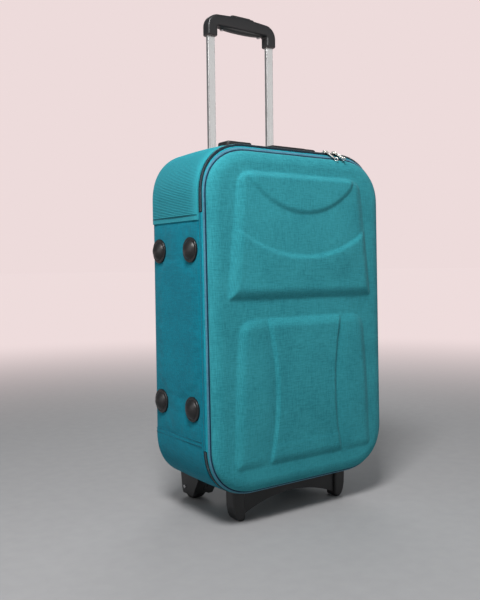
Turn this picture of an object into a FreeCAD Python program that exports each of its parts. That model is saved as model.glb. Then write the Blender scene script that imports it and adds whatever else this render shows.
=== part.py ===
import FreeCAD, Part
import math
import os
import Sketcher

Vector = FreeCAD.Vector
Rotation = FreeCAD.Rotation

# Softside upright suitcase.  X runs across the case, -Y is the front (the lid), +Z is up and
# z = 0 is the floor under the front feet and the rear wheels.  All sizes are in millimetres.
DIMENSIONS = [
    # The fabric case, seen from the front: one rounded outline that every ring follows.
    ("half_width", 190.0),
    ("case_bottom", 53.0),
    ("case_top", 625.0),
    ("corner_radius", 76.0),
    ("wall", 4.0),
    ("gusset_front", -70.3),
    ("gusset_back", 66.0),
    ("back_face", 84.0),
    ("back_edge_radius", 12.0),
    ("back_wall", 3.0),
    ("upper_seam", 502.0),
    ("lower_seam", 146.0),
    ("upper_proud", 1.6),
    ("lower_proud", 0.6),
    # Zip and fabric hinge.
    ("zip_line", -77.0),
    ("zip_gap", 0.15),
    ("tape", 1.2),
    ("coil_back", -73.6),
    ("hinge_low", 135.0),
    ("hinge_high", 512.0),
    ("slider_1_x", 74.0),
    ("slider_2_x", 95.0),
    ("slider_half", 6.0),
    # Lid.
    ("lid_band_front", -90.0),
    ("piping_centre", -93.5),
    ("piping_radius", 3.3),
    ("shell_inset", 4.7),
    ("shell_back", -94.0),
    ("shell_front", -111.0),
    ("shell_wall", 4.5),
    ("shell_edge_radius", 9.0),
    ("relief", 6.0),
    ("relief_edge", 3.0),
    # Rim strips, lining and base board.
    ("rim_inset", 4.5),
    ("rim_width", 3.6),
    ("lining_inset", 9.0),
    ("lining_wall", 1.2),
    ("board_half", 94.0),
    ("strap_width", 25.0),
    ("strap_thickness", 1.6),
    ("clip_half", 25.5),
    ("clip_depth", 9.0),
    ("pocket_half", 140.0),
    ("pocket_low", 110.0),
    ("pocket_high", 470.0),
    # Side feet.
    ("foot_radius", 20.5),
    ("foot_height", 12.0),
    ("foot_rim", 3.4),
    ("foot_cap_radius", 16.0),
    ("side_foot_front", -45.0),
    ("side_foot_back", 55.0),
    ("side_foot_high", 455.0),
    ("side_foot_low", 196.0),
    # Carry handles.
    ("handle_half", 100.0),
    ("bracket_length", 53.0),
    ("bracket_width", 34.0),
    ("bracket_height", 15.4),
    ("bracket_room", 24.8),
    ("bracket_end", 8.0),
    ("tongue_width", 23.0),
    ("hand_pad_half", 44.0),
    ("hand_pad_width", 28.0),
    ("top_handle_y", -7.0),
    ("side_handle_z", 339.0),
    ("side_handle_y", -4.0),
    ("side_bracket_height", 12.0),
    # Combination lock.
    ("lock_half", 37.5),
    ("lock_y", -52.0),
    ("lock_width", 28.0),
    ("lock_height", 6.4),
    ("lock_depth", 10.8),
    ("dial_radius", 5.2),
    ("dial_width", 5.0),
    ("dial_pitch", 9.0),
    ("first_dial_x", -12.0),
    # Telescopic handle.
    ("pole_x", 67.0),
    ("pole_y", 75.0),
    ("pole_width", 15.0),
    ("pole_depth", 8.0),
    ("pole_wall", 1.0),
    ("sleeve_width", 18.0),
    ("sleeve_depth", 11.0),
    ("sleeve_wall", 1.2),
    ("sleeve_bottom", 69.0),
    ("sleeve_top", 612.0),
    ("pole_bottom", 300.0),
    ("grip_low", 847.0),
    ("grip_underside", 863.0),
    ("grip_top", 890.0),
    ("grip_half", 80.0),
    ("grip_depth", 24.0),
    ("grip_leg_inner", 51.0),
    ("insert_half", 48.8),
    ("grip_screw_x", 42.0),
    ("bezel_half", 90.0),
    ("bezel_depth", 8.0),
    ("bezel_rise", 8.0),
    ("button_half", 22.5),
    ("pin_z", 316.0),
    ("stowed_drop", 213.0),
    ("full_rise", 120.0),
    # Wheels, wheel housings and front foot bar.
    ("wheel_x", 103.0),
    ("wheel_y", 93.0),
    ("wheel_radius", 24.0),
    ("wheel_width", 22.0),
    ("hub_radius", 16.0),
    ("hub_recess", 4.0),
    ("axle_radius", 3.0),
    ("axle_length", 46.0),
    ("leg_centre", 109.5),
    ("foot_bar_y", -54.0),
    ("foot_bar_depth", 26.0),
    ("beam_depth", 14.0),
    ("arch_radius", 246.7),
    ("arch_crown", 31.3),
    ("bar_screw_x", 60.0),
    ("housing_screw_y", 57.0),
    ("screw_radius", 2.5),
    ("screw_head_radius", 4.5),
]

doc = FreeCAD.newDocument("softside_upright_suitcase")
sheet = doc.addObject("Spreadsheet::Sheet", "Dims")
for row, (alias, value) in enumerate(DIMENSIONS, start=1):
    sheet.set(f"A{row}", alias)
    sheet.set(f"B{row}", str(value))
    sheet.setAlias(f"B{row}", alias)
doc.recompute()

SIDES = (("left", -1), ("right", 1))
nodes = []


# ---------------------------------------------------------------- general helpers

def number(formula):
    """Value of a formula in the sheet's names, such as "half_width - wall"."""
    return float(sheet.evalExpression(str(formula)))


def bound(formula):
    """The same formula as an expression that another object can hold."""
    words = []
    for word in str(formula).replace("(", " ( ").replace(")", " ) ").split():
        words.append(f"Dims.{word}" if word in ALIASES else word)
    return " ".join(words)


ALIASES = {alias for alias, value in DIMENSIONS}


def bind(item, prop, formula):
    """Bind one property to a formula in the sheet's names."""
    item.setExpression(prop, bound(formula))


def keep(label, item):
    """Name a finished sub-part, which is then a node of the model."""
    item.Label = label
    nodes.append(item)
    return item


def span(side, near, far):
    """The interval from near to far on the right, or its mirror image on the left."""
    return (near, far) if side > 0 else (f"-1 * ( {far} )", f"-1 * ( {near} )")


def place(item, x, y, z):
    """Bind a primitive's position."""
    for axis, formula in zip("xyz", (x, y, z)):
        bind(item, f"Placement.Base.{axis}", formula)


def box(name, x, y, z):
    """Box between the low and high formulas given for each axis."""
    item = doc.addObject("Part::Box", name)
    for size, (low, high) in zip(("Length", "Width", "Height"), (x, y, z)):
        bind(item, size, f"( {high} ) - ( {low} )")
    place(item, x[0], y[0], z[0])
    return item


TURNS = {
    "+X": Rotation(Vector(0, 1, 0), 90),
    "-X": Rotation(Vector(0, 1, 0), -90),
    "+Y": Rotation(Vector(1, 0, 0), -90),
    "+Z": Rotation(),
}


def cylinder(name, direction, start, radius, length):
    """Cylinder from the start point along a direction."""
    item = doc.addObject("Part::Cylinder", name)
    bind(item, "Radius", radius)
    bind(item, "Height", length)
    item.Placement.Rotation = TURNS[direction]
    place(item, *start)
    return item


def cap(name, direction, start, radius, height, base):
    """Spherical cap whose rim has the given radius, standing base above the start point."""
    item = doc.addObject("Part::Sphere", name)
    ball = f"( ( {radius} ) * ( {radius} ) + ( {height} ) * ( {height} ) ) / ( 2 * ( {height} ) )"
    bind(item, "Radius", ball)
    ball_radius = number(ball)
    rise = ball_radius - number(height)
    item.Angle1 = math.degrees(math.asin(rise / ball_radius))
    item.Placement.Rotation = TURNS[direction]
    axis = TURNS[direction].multVec(Vector(0, 0, 1))
    offsets = [f"( {base} + {height} - {ball} ) * {int(round(part))}" for part in axis]
    place(item, *[f"{point} + {offset}" for point, offset in zip(start, offsets)])
    return item


def cut(name, base, *tools):
    """Base with every tool taken away."""
    item = doc.addObject("Part::Cut", name)
    item.Base = base
    item.Tool = tools[0] if len(tools) == 1 else fuse(f"{name}_tools", *tools)
    return item


def fuse(name, *shapes):
    """One solid made of shapes that touch or overlap."""
    item = doc.addObject("Part::MultiFuse", name)
    item.Shapes = list(shapes)
    item.Refine = True
    return item


def common(name, *shapes):
    """The volume that all shapes share."""
    item = doc.addObject("Part::MultiCommon", name)
    item.Shapes = list(shapes)
    return item


def group(name, shapes):
    """Identical separate solids that share one node."""
    item = doc.addObject("Part::Compound", name)
    item.Links = list(shapes)
    return item


def fillet(name, base, radius, wanted):
    """Round the edges of base for which wanted(edge) holds."""
    doc.recompute()
    size = number(radius)
    edges = []
    for index, edge in enumerate(base.Shape.Edges, start=1):
        if wanted(edge):
            edges.append((index, size, size))
    item = doc.addObject("Part::Fillet", name)
    item.Base = base
    item.Edges = edges
    return item


def along(edge, axis):
    """True for a straight edge that runs along the given axis."""
    if len(edge.Vertexes) != 2:
        return False
    step = edge.Vertexes[1].Point - edge.Vertexes[0].Point
    return abs(abs(step[axis]) - edge.Length) < 1e-6 and edge.Length > 0.5


def at_height(edge, axis, level):
    """True for an edge that lies wholly at one level of an axis."""
    bounds = edge.BoundBox
    low = (bounds.XMin, bounds.YMin, bounds.ZMin)[axis]
    high = (bounds.XMax, bounds.YMax, bounds.ZMax)[axis]
    return abs(low - level) < 1e-4 and abs(high - level) < 1e-4


# ---------------------------------------------------------------- sketches and bodies

def new_body(name):
    """Empty PartDesign body."""
    return doc.addObject("PartDesign::Body", name)


def new_sketch(body, role, name, level="0"):
    """Sketch on one of the body's own origin planes, moved along the plane's normal."""
    sketch = body.newObject("Sketcher::SketchObject", name)
    plane = [item for item in body.Origin.OriginFeatures if item.Role == role][0]
    sketch.AttachmentSupport = [(plane, "")]
    sketch.MapMode = "FlatFace"
    bind(sketch, "AttachmentOffset.Base.z", level)
    return sketch


def dimension(sketch, kind, refs, formula):
    """Driving dimension of a sketch, bound to a formula."""
    index = sketch.addConstraint(Sketcher.Constraint(kind, *refs, number(formula)))
    sketch.setExpression(f"Constraints[{index}]", bound(formula))


def rounded_rectangle(sketch, left, right, low, high, radius):
    """Rectangle with four equal round corners, sized by formulas."""
    x0, x1, y0, y1, r = (number(f) for f in (left, right, low, high, radius))
    centres = ((x1 - r, y1 - r), (x0 + r, y1 - r), (x0 + r, y0 + r), (x1 - r, y0 + r))
    ends = (
        ((x1, y0 + r), (x1, y1 - r)),
        ((x1 - r, y1), (x0 + r, y1)),
        ((x0, y1 - r), (x0, y0 + r)),
        ((x0 + r, y0), (x1 - r, y0)),
    )
    lines = []
    arcs = []
    for quarter in range(4):
        start, stop = ends[quarter]
        line = Part.LineSegment(Vector(*start, 0), Vector(*stop, 0))
        lines.append(sketch.addGeometry(line, False))
        circle = Part.Circle(Vector(*centres[quarter], 0), Vector(0, 0, 1), r)
        arc = Part.ArcOfCircle(circle, quarter * math.pi / 2, (quarter + 1) * math.pi / 2)
        arcs.append(sketch.addGeometry(arc, False))
    for quarter in range(4):
        following = lines[(quarter + 1) % 4]
        sketch.addConstraint(Sketcher.Constraint("Tangent", lines[quarter], 2, arcs[quarter], 1))
        sketch.addConstraint(Sketcher.Constraint("Tangent", arcs[quarter], 2, following, 1))
        direction = "Horizontal" if quarter % 2 else "Vertical"
        sketch.addConstraint(Sketcher.Constraint(direction, lines[quarter]))
    for arc in arcs[1:]:
        sketch.addConstraint(Sketcher.Constraint("Equal", arcs[0], arc))
    dimension(sketch, "Radius", (arcs[0],), radius)
    dimension(sketch, "DistanceX", (-1, 1, lines[0], 1), right)
    dimension(sketch, "DistanceY", (-1, 1, lines[1], 1), high)
    dimension(sketch, "DistanceX", (-1, 1, lines[2], 1), left)
    dimension(sketch, "DistanceY", (-1, 1, lines[3], 1), low)


def polygon(sketch, points):
    """Closed polygon whose corners are pairs of formulas."""
    corners = [Vector(number(x), number(y), 0) for x, y in points]
    count = len(corners)
    sides = []
    for index in range(count):
        segment = Part.LineSegment(corners[index], corners[(index + 1) % count])
        sides.append(sketch.addGeometry(segment, False))
    for index in range(count):
        following = sides[(index + 1) % count]
        sketch.addConstraint(Sketcher.Constraint("Coincident", sides[index], 2, following, 1))
    for index, (x, y) in enumerate(points):
        dimension(sketch, "DistanceX", (-1, 1, sides[index], 1), x)
        dimension(sketch, "DistanceY", (-1, 1, sides[index], 1), y)


def case_outline(sketch, inset):
    """The case's front outline, moved inwards by inset."""
    rounded_rectangle(
        sketch,
        f"-1 * ( half_width - ( {inset} ) )",
        f"half_width - ( {inset} )",
        f"case_bottom + ( {inset} )",
        f"case_top - ( {inset} )",
        f"corner_radius - ( {inset} )",
    )


def pad(body, sketch, length):
    """Pad a sketch along its normal."""
    feature = body.newObject("PartDesign::Pad", f"{body.Name}_pad")
    feature.Profile = sketch
    bind(feature, "Length", length)
    doc.recompute()
    return feature


def pocket(body, sketch, length=None, backwards=False):
    """Pocket along the sketch's normal, or both ways through everything without a length."""
    before = body.Shape.Volume
    feature = body.newObject("PartDesign::Pocket", f"{body.Name}_pocket")
    feature.Profile = sketch
    if length is None:
        feature.Type = "ThroughAll"
        feature.SideType = "Symmetric"
    else:
        feature.Reversed = backwards
        bind(feature, "Length", length)
    doc.recompute()
    if not body.Shape.Volume < before - 1:
        raise RuntimeError(f"{feature.Name} cuts nothing")
    return feature


def ring(name, outer, inner, front, back):
    """Band that follows the case outline, between two insets and two Y levels."""
    body = new_body(name)
    sketch = new_sketch(body, "XZ_Plane", f"{name}_section", f"-1 * ( {back} )")
    case_outline(sketch, outer)
    case_outline(sketch, inner)
    pad(body, sketch, f"( {back} ) - ( {front} )")
    return body


def window(body, name, left, right, low, high):
    """Cut a rectangle, seen from the front, right through a body."""
    sketch = new_sketch(body, "XZ_Plane", f"{body.Name}_{name}")
    polygon(sketch, ((left, low), (right, low), (right, high), (left, high)))
    return pocket(body, sketch)


def slab(name, inset, front, back):
    """Solid slice of the case outline between two Y levels."""
    body = new_body(name)
    sketch = new_sketch(body, "XZ_Plane", f"{name}_outline", f"-1 * ( {back} )")
    case_outline(sketch, inset)
    pad(body, sketch, f"( {back} ) - ( {front} )")
    return body


def round_edges(body, radius, wanted):
    """Fillet the edges of a body's last feature for which wanted(edge) holds."""
    last = body.Tip
    names = []
    for index, edge in enumerate(last.Shape.Edges, start=1):
        if wanted(edge):
            names.append(f"Edge{index}")
    feature = body.newObject("PartDesign::Fillet", f"{body.Name}_fillet")
    feature.Base = (last, names)
    bind(feature, "Radius", radius)
    doc.recompute()
    return feature


# ---------------------------------------------------------------- case

def envelope(name):
    """Outer form of the case, for shaping whatever is fastened under or behind it."""
    body = slab(name, "-1 * lower_proud - 0.1", "gusset_front - 4", "back_face + 0.1")
    round_edges(body, "back_edge_radius", lambda edge: at_height(edge, 1, number("back_face + 0.1")))
    return body


def screw_points():
    """Places of the underside screws: front foot bar first, then the wheel housings."""
    bar = [(side * number("bar_screw_x"), number("foot_bar_y")) for name, side in SIDES]
    housings = [(side * number("wheel_x"), number("housing_screw_y")) for name, side in SIDES]
    return bar + housings


def underside_cylinders(name, radius, low, high):
    """One upright cylinder at each underside screw."""
    made = []
    for index, (x, y) in enumerate(screw_points(), start=1):
        made.append(cylinder(f"{name}_{index}", "+Z", (x, y, low), radius, f"{high} - ( {low} )"))
    return made


def gussets():
    """Four fabric walls: ribbed upper U, plain lower U and the two side panels."""
    upper = ring("upper_gusset_body", "-1 * upper_proud", "wall", "gusset_front", "gusset_back")
    window(upper, "below_seam", -300, 300, 0, "upper_seam")
    lock_window = box("lock_window", ("-1 * lock_half - 0.2", "lock_half + 0.2"),
                      ("lock_y - lock_width / 2 - 0.2", "lock_y + lock_width / 2 + 0.2"), (600, 640))
    keep("upper_gusset", cut("upper_gusset_cut", upper, lock_window))
    lower = ring("lower_gusset_body", "-1 * lower_proud", "wall", "gusset_front", "gusset_back")
    window(lower, "above_seam", -300, 300, "lower_seam", 700)
    holes = underside_cylinders("lower_gusset_hole", "screw_radius + 0.1", 40, 70)
    keep("lower_gusset", cut("lower_gusset_cut", lower, *holes))
    for name, side in SIDES:
        across = span(side, "half_width - wall", "half_width")
        depth = ("gusset_front", "gusset_back")
        panel = box(f"side_panel_{name}_sheet", across, depth, ("lower_seam", "upper_seam"))
        if side < 0:
            panel = cut("side_panel_drilled", panel, *side_foot_bores("panel_bore", 2.2))
        keep(f"side_panel_{name}", panel)


def back_panel():
    """Dished board that closes the back, open at the top for the telescopic handle."""
    body = slab("back_panel_body", 0, "gusset_back + 0.2", "back_face")
    sketch = new_sketch(body, "XZ_Plane", "back_panel_hollow", "-1 * ( back_face - back_wall )")
    case_outline(sketch, "back_wall")
    pocket(body, sketch, "back_face", backwards=True)
    floor = number("back_face - back_wall")
    round_edges(body, "back_edge_radius - back_wall", lambda edge: at_height(edge, 1, floor))
    round_edges(body, "back_edge_radius", lambda edge: at_height(edge, 1, number("back_face")))
    slot = new_sketch(body, "XY_Plane", "back_panel_slot", "case_top + 5")
    left, right = "-1 * bezel_half - 0.1", "bezel_half + 0.1"
    corners = ((left, "gusset_back - 5"), (right, "gusset_back - 5"),
               (right, "back_face + 5"), (left, "back_face + 5"))
    polygon(slot, corners)
    pocket(body, slot, "bezel_depth + 5.1")
    relieved = []
    for name, side in SIDES:
        x, y = rectangle_about(side, "sleeve_width", "sleeve_depth", 1.2)
        relieved.append(box(f"collar_room_{name}", x, (y[0], "pole_y + 6.2"),
                            ("sleeve_top - 15", "case_top - 6")))
    keep("back_panel", cut("back_panel_cut", body, *relieved))


def stiffeners():
    """Rim strips, base board and lining that hold the fabric to its shape."""
    inner = "rim_inset + rim_width"
    for name, middle in (("front", "gusset_front + 4.3"), ("back", "gusset_back - 4")):
        levels = (f"{middle} - rim_width / 2", f"{middle} + rim_width / 2")
        keep(f"{name}_rim_strip", ring(f"{name}_rim_body", "rim_inset", inner, *levels))
    level = ("case_bottom + wall + 0.3", "case_bottom + wall + 3.3")
    depth = ("gusset_front + 8.3", "gusset_back - 8")
    board = box("base_board_sheet", ("-1 * board_half", "board_half"), depth, level)
    holes = underside_cylinders("base_board_hole", "screw_radius + 0.1", 40, 70)
    keep("base_board", cut("base_board_cut", board, *holes[:2]))
    lining = slab("lining_body", "lining_inset", "gusset_front + 1.3", "gusset_back")
    hollow = new_sketch(lining, "XZ_Plane", "lining_hollow", "-1 * ( gusset_back - lining_wall )")
    case_outline(hollow, "lining_inset + lining_wall")
    pocket(lining, hollow, 300, backwards=True)
    keep("body_lining", lining)


def packing_straps():
    """Two webbing straps across the back of the packing space, with their clip."""
    back = "gusset_back - lining_wall - 0.2"
    depth = (f"{back} - strap_thickness", back)
    level = ("side_handle_z - strap_width / 2", "side_handle_z + strap_width / 2")
    straps = []
    for name, side in SIDES:
        across = span(side, 26, "half_width - lining_inset - lining_wall - 0.3")
        straps.append(box(f"strap_{name}", across, depth, level))
    keep("packing_straps", group("packing_straps_group", straps))
    thick = (f"{back} - clip_depth", back)
    level = ("side_handle_z - 17", "side_handle_z + 17")
    socket = box("clip_socket_block", ("-1 * clip_half", 6), thick, level)
    mouth_y = (f"{back} - clip_depth + 1.5", f"{back} - 1.5")
    mouth = box("clip_socket_mouth", (-18, 7), mouth_y, ("side_handle_z - 13", "side_handle_z + 13"))
    rounded = fillet("clip_socket_round", socket, 2, lambda edge: along(edge, 0))
    keep("clip_socket", cut("clip_socket_cut", rounded, mouth))
    plug_y = (f"{back} - clip_depth + 1.8", f"{back} - 1.8")
    bar = box("clip_plug_bar", (6.3, "clip_half"), thick, ("side_handle_z - 15", "side_handle_z + 15"))
    prongs = [bar]
    for index, (low, high) in enumerate(((-12.5, -8.5), (-2, 2), (8.5, 12.5))):
        level = (f"side_handle_z + ( {low} )", f"side_handle_z + {high}")
        prongs.append(box(f"clip_prong_{index}", (-16, 7), plug_y, level))
    keep("clip_plug", fuse("clip_plug_fused", *prongs))


def side_foot_centres():
    """(y, z) formulas of the four feet on the left side panel."""
    rows = ("side_foot_high", "side_foot_low")
    return [(y, z) for z in rows for y in ("side_foot_front", "side_foot_back")]


def side_foot_bores(name, radius):
    """Cylinders along the side feet's screws."""
    made = []
    for index, (y, z) in enumerate(side_foot_centres(), start=1):
        start = ("-1 * half_width - 8", y, z)
        made.append(cylinder(f"{name}_{index}", "+X", start, radius, "wall + 8.5"))
    return made


def side_feet():
    """Domed feet that the case lies on when it is put down on its left side."""
    feet = []
    screws = []
    bores = side_foot_bores("side_foot_bore", 2.05)
    for index, (y, z) in enumerate(side_foot_centres(), start=1):
        start = ("-1 * half_width", y, z)
        rim = cylinder(f"side_foot_rim_{index}", "-X", start, "foot_radius", "foot_rim")
        rim = fillet(f"side_foot_round_{index}", rim, 1.2,
                     lambda edge: at_height(edge, 0, number("-1 * half_width - foot_rim")))
        dome = cap(f"side_foot_dome_{index}", "-X", start,
                   "foot_cap_radius", "( foot_height - foot_rim )", "foot_rim")
        whole = fuse(f"side_foot_{index}", rim, dome)
        feet.append(cut(f"side_foot_drilled_{index}", whole, bores[index - 1]))
        shank = cylinder(f"side_foot_shank_{index}", "+X", ("-1 * half_width - 7.8", y, z), 2, 12)
        head = cylinder(f"side_foot_head_{index}", "+X", ("-1 * half_width + wall", y, z), 4.5, 2.4)
        screws.append(fuse(f"side_foot_screw_{index}", shank, head))
    keep("side_feet", group("side_feet_group", feet))
    keep("side_foot_screws", group("side_foot_screws_group", screws))


# ---------------------------------------------------------------- zip

def zip_parts():
    """Body-side tape with its coil, hinge strip, two sliders and their pulls."""
    flat = ring("zip_tape_flat", 0, "tape", "zip_line + zip_gap", "gusset_front")
    window(flat, "hinge_gap", -300, -150, "hinge_low", "hinge_high")
    coil = ring("zip_tape_coil", "-1 * tape", 0, "zip_line + zip_gap", "coil_back")
    window(coil, "hinge_gap", -300, -150, "hinge_low", "hinge_high")
    keep("body_zip_tape", fuse("body_zip_tape_fused", flat, coil))
    across = span(-1, "half_width - tape", "half_width")
    hinge = box("hinge_strip", across, ("zip_line + zip_gap", "gusset_front"), ("hinge_low", "hinge_high"))
    keep("hinge_binding", hinge)
    for index in (1, 2):
        zip_slider(index, f"slider_{index}_x")


def zip_slider(index, x):
    """Slider that straddles the coil, with a bridge that holds its pull."""
    coil_top = "case_top + tape"
    across = (f"{x} - slider_half", f"{x} + slider_half")
    pivot_y = "zip_line + 0.5"
    pivot_z = f"{coil_top} + 4.2"
    plate = box(f"slider_plate_{index}", across, ("zip_line - 4.5", "zip_line + 5.5"),
                (f"{coil_top} + 0.4", f"{coil_top} + 2.2"))
    plate = fillet(f"slider_round_{index}", plate, 2.5, lambda edge: along(edge, 2))
    flange = box(f"slider_flange_{index}", across, ("zip_line + 3.9", "zip_line + 5.5"),
                 ("case_top + 0.5", f"{coil_top} + 1"))
    posts = []
    for name, low in (("a", f"{x} - 4.6"), ("b", f"{x} + 3.4")):
        posts.append(box(f"slider_post_{name}_{index}", (low, f"{low} + 1.2"),
                         (f"{pivot_y} - 1.7", f"{pivot_y} + 1.7"),
                         (f"{coil_top} + 2", f"{coil_top} + 5")))
    bar = cylinder(f"slider_bar_{index}", "+X", (f"{x} - 4.6", pivot_y, pivot_z), 0.8, 9.2)
    keep(f"zip_slider_{index}", fuse(f"slider_fused_{index}", plate, flange, *posts, bar))
    eye = cylinder(f"pull_eye_{index}", "+X", (f"{x} - 3.1", pivot_y, pivot_z), 1.9, 6.2)
    tab = box(f"pull_tab_{index}", (f"{x} - 3.1", f"{x} + 3.1"), (-100, "zip_line - 0.5"),
              (f"{coil_top} + 3.4", f"{coil_top} + 5"))
    tab = fillet(f"pull_tab_round_{index}", tab, 2.9,
                 lambda edge: along(edge, 2) and edge.BoundBox.YMax < -99)
    hole = box(f"pull_hole_{index}", (f"{x} - 1.4", f"{x} + 1.4"), (-96.5, -88),
               ("case_top", "case_top + 12"))
    bore = cylinder(f"pull_bore_{index}", "+X", (f"{x} - 4", pivot_y, pivot_z), 0.86, 8)
    pull = fuse(f"pull_blank_{index}", eye, tab)
    keep(f"zip_pull_{index}", cut(f"pull_cut_{index}", pull, hole, bore))


# ---------------------------------------------------------------- lid

def lid():
    """Moulded front shell with its relief, piping, fabric band, rim strip, lining and pocket."""
    shell = slab("lid_shell_body", "shell_inset", "shell_front", "shell_back")
    round_edges(shell, "shell_edge_radius", lambda edge: at_height(edge, 1, number("shell_front")))
    hollow = new_sketch(shell, "XZ_Plane", "lid_shell_hollow", "-1 * ( shell_front + shell_wall )")
    case_outline(hollow, "shell_inset + shell_wall")
    pocket(shell, hollow, 60)
    keep("lid_shell", fuse("lid_shell_fused", shell, upper_relief(), lower_relief()))
    band = ring("lid_band_body", 0, "tape", "lid_band_front", "zip_line - zip_gap")
    keep("lid_band", band)
    keep("lid_piping", lid_piping())
    levels = ("lid_band_front + 1", "lid_band_front + 4.6")
    keep("lid_rim_strip", ring("lid_rim_body", "tape + 0.2", "tape + 0.2 + rim_width", *levels))
    levels = ("shell_front + 6.5", "shell_front + 7.5")
    keep("lid_lining", slab("lid_lining_body", "shell_inset + shell_wall + 0.4", *levels))
    levels = ("shell_front + 7.8", "shell_front + 8.8")
    sheet_box = box("lid_pocket_sheet", ("-1 * pocket_half", "pocket_half"), levels,
                    ("pocket_low", "pocket_high"))
    keep("lid_pocket", fillet("lid_pocket_round", sheet_box, 25, lambda edge: along(edge, 1)))


def relief(name, points, corner):
    """Raised field of the front shell."""
    body = new_body(name)
    sketch = new_sketch(body, "XZ_Plane", f"{name}_outline", "-1 * ( shell_front + 1 )")
    polygon(sketch, points)
    pad(body, sketch, "relief + 1")
    round_edges(body, corner, lambda edge: along(edge, 1))
    front = number("shell_front - relief")
    round_edges(body, "relief_edge", lambda edge: at_height(edge, 1, front))
    return body


def upper_relief():
    """Shield-like field: straight pointed foot, flared sides, rounded shoulders."""
    points = ((-160, 374), (160, 374), (148, 446), (133, 582), (-133, 582), (-148, 446))
    return relief("upper_relief", points, 3.5)


def lower_relief():
    """Tall field with rounded corners, a little wider at its foot."""
    points = ((-153, 92), (153, 92), (137, 338), (-137, 338))
    return relief("lower_relief", points, 26)


def lid_piping():
    """Cord-filled piping all round the lid: four straight runs joined by quarter rings."""
    inset = "( piping_radius - 2 )"
    bend = f"( corner_radius - {inset} )"
    pieces = []
    for name, side in SIDES:
        x = f"{side} * ( half_width - {inset} )"
        run = "case_top - case_bottom - 2 * corner_radius"
        start = (x, "piping_centre", "case_bottom + corner_radius")
        pieces.append(cylinder(f"piping_side_{name}", "+Z", start, "piping_radius", run))
    for name, level in (("low", f"case_bottom + {inset}"), ("high", f"case_top - {inset}")):
        start = ("-1 * ( half_width - corner_radius )", "piping_centre", level)
        run = "2 * ( half_width - corner_radius )"
        pieces.append(cylinder(f"piping_{name}", "+X", start, "piping_radius", run))
    corners = ((1, "case_bottom + corner_radius", 0), (-1, "case_bottom + corner_radius", 90),
               (-1, "case_top - corner_radius", 180), (1, "case_top - corner_radius", 270))
    for index, (side, level, turn) in enumerate(corners, start=1):
        bow = doc.addObject("Part::Torus", f"piping_corner_{index}")
        bind(bow, "Radius1", bend)
        bind(bow, "Radius2", "piping_radius")
        bow.Angle3 = 90
        about_y = Rotation(Vector(0, 1, 0), turn)
        bow.Placement.Rotation = about_y.multiply(Rotation(Vector(1, 0, 0), -90))
        place(bow, f"{side} * ( half_width - corner_radius )", "piping_centre", level)
        pieces.append(bow)
    return fuse("lid_piping_fused", *pieces)


# ---------------------------------------------------------------- lock

def lock():
    """Combination lock let into the front edge of the top: body, three dials and release slide."""
    top = "case_top + upper_proud + lock_height"
    depth = ("lock_y - lock_width / 2", "lock_y + lock_width / 2")
    block = box("lock_block", ("-1 * lock_half", "lock_half"), depth, (f"{top} - lock_depth", top))
    block = fillet("lock_round", block, 4, lambda edge: along(edge, 2))
    block = fillet("lock_top_round", block, 1.6, lambda edge: at_height(edge, 2, number(top)))
    pockets = []
    dial_y = "lock_y - 3"
    dial_z = f"{top} - 4"
    for index in (1, 2, 3):
        x = f"first_dial_x + ( {index} - 1 ) * dial_pitch"
        start = (f"{x} - dial_width / 2 - 0.4", dial_y, dial_z)
        pockets.append(cylinder(f"dial_slot_{index}", "+X", start, "dial_radius + 0.6",
                                "dial_width + 0.8"))
        dial = cylinder(f"dial_disc_{index}", "+X", (f"{x} - dial_width / 2", dial_y, dial_z),
                        "dial_radius", "dial_width")
        bore = cylinder(f"dial_bore_{index}", "+X", (f"{x} - 5", dial_y, dial_z), 1.05, 12)
        keep(f"lock_dial_{index}", cut(f"dial_cut_{index}", dial, bore))
    pin = cylinder("lock_pin_shaft", "+X", (-17, dial_y, dial_z), 1.0, 28)
    track = box("lock_track", (17, 34), ("lock_y - 6.5", "lock_y + 3.5"), (f"{top} - 3", f"{top} + 2"))
    body = cut("lock_body_cut", block, *pockets, track)
    keep("lock_body", fuse("lock_body_fused", body, pin))
    slide = box("lock_slide_block", (17.3, 28.7), ("lock_y - 6.2", "lock_y + 3.2"),
                (f"{top} - 2.7", f"{top} + 1.4"))
    crown = number(f"{top} + 1.4")
    keep("lock_slide", fillet("lock_slide_round", slide, 1.2, lambda edge: at_height(edge, 2, crown)))


# ---------------------------------------------------------------- carry handles

def top_handle():
    """Low carry handle on the top: a bar whose end tongues lift inside two brackets."""
    base = "case_top + upper_proud"
    top = number(f"{base} + bracket_height")
    across = handle_width("top_handle_y", "bracket_width")
    room_y = handle_width("top_handle_y", "bracket_room")
    room_z = (f"{base} + 4", f"{base} + bracket_height - 2")
    brackets = []
    for name, side in SIDES:
        length = span(side, "handle_half - bracket_length", "handle_half")
        block = box(f"top_bracket_block_{name}", length, across, (base, f"{base} + bracket_height"))
        block = fillet(f"top_bracket_sides_{name}", block, 6, lambda edge: along(edge, 2))
        block = fillet(f"top_bracket_round_{name}", block, 4, lambda edge: at_height(edge, 2, top))
        length = span(side, "handle_half - bracket_length - 1", "handle_half - bracket_end")
        room = box(f"top_bracket_room_{name}", length, room_y, room_z)
        brackets.append(cut(f"top_bracket_{name}", block, room))
    keep("top_handle_brackets", group("top_brackets_group", brackets))
    bar = box("top_handle_bar", ("-1 * ( handle_half - bracket_end - 1 )", "handle_half - bracket_end - 1"),
              handle_width("top_handle_y", "tongue_width"), (f"{base} + 5", f"{base} + 8.4"))
    grip = box("top_handle_pad", ("-1 * hand_pad_half", "hand_pad_half"),
               handle_width("top_handle_y", "hand_pad_width"), (f"{base} + 4.6", f"{base} + 12.4"))
    grip = fillet("top_handle_pad_round", grip, 3, lambda edge: along(edge, 0))
    keep("top_handle_grip", fuse("top_handle_fused", bar, grip))


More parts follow.
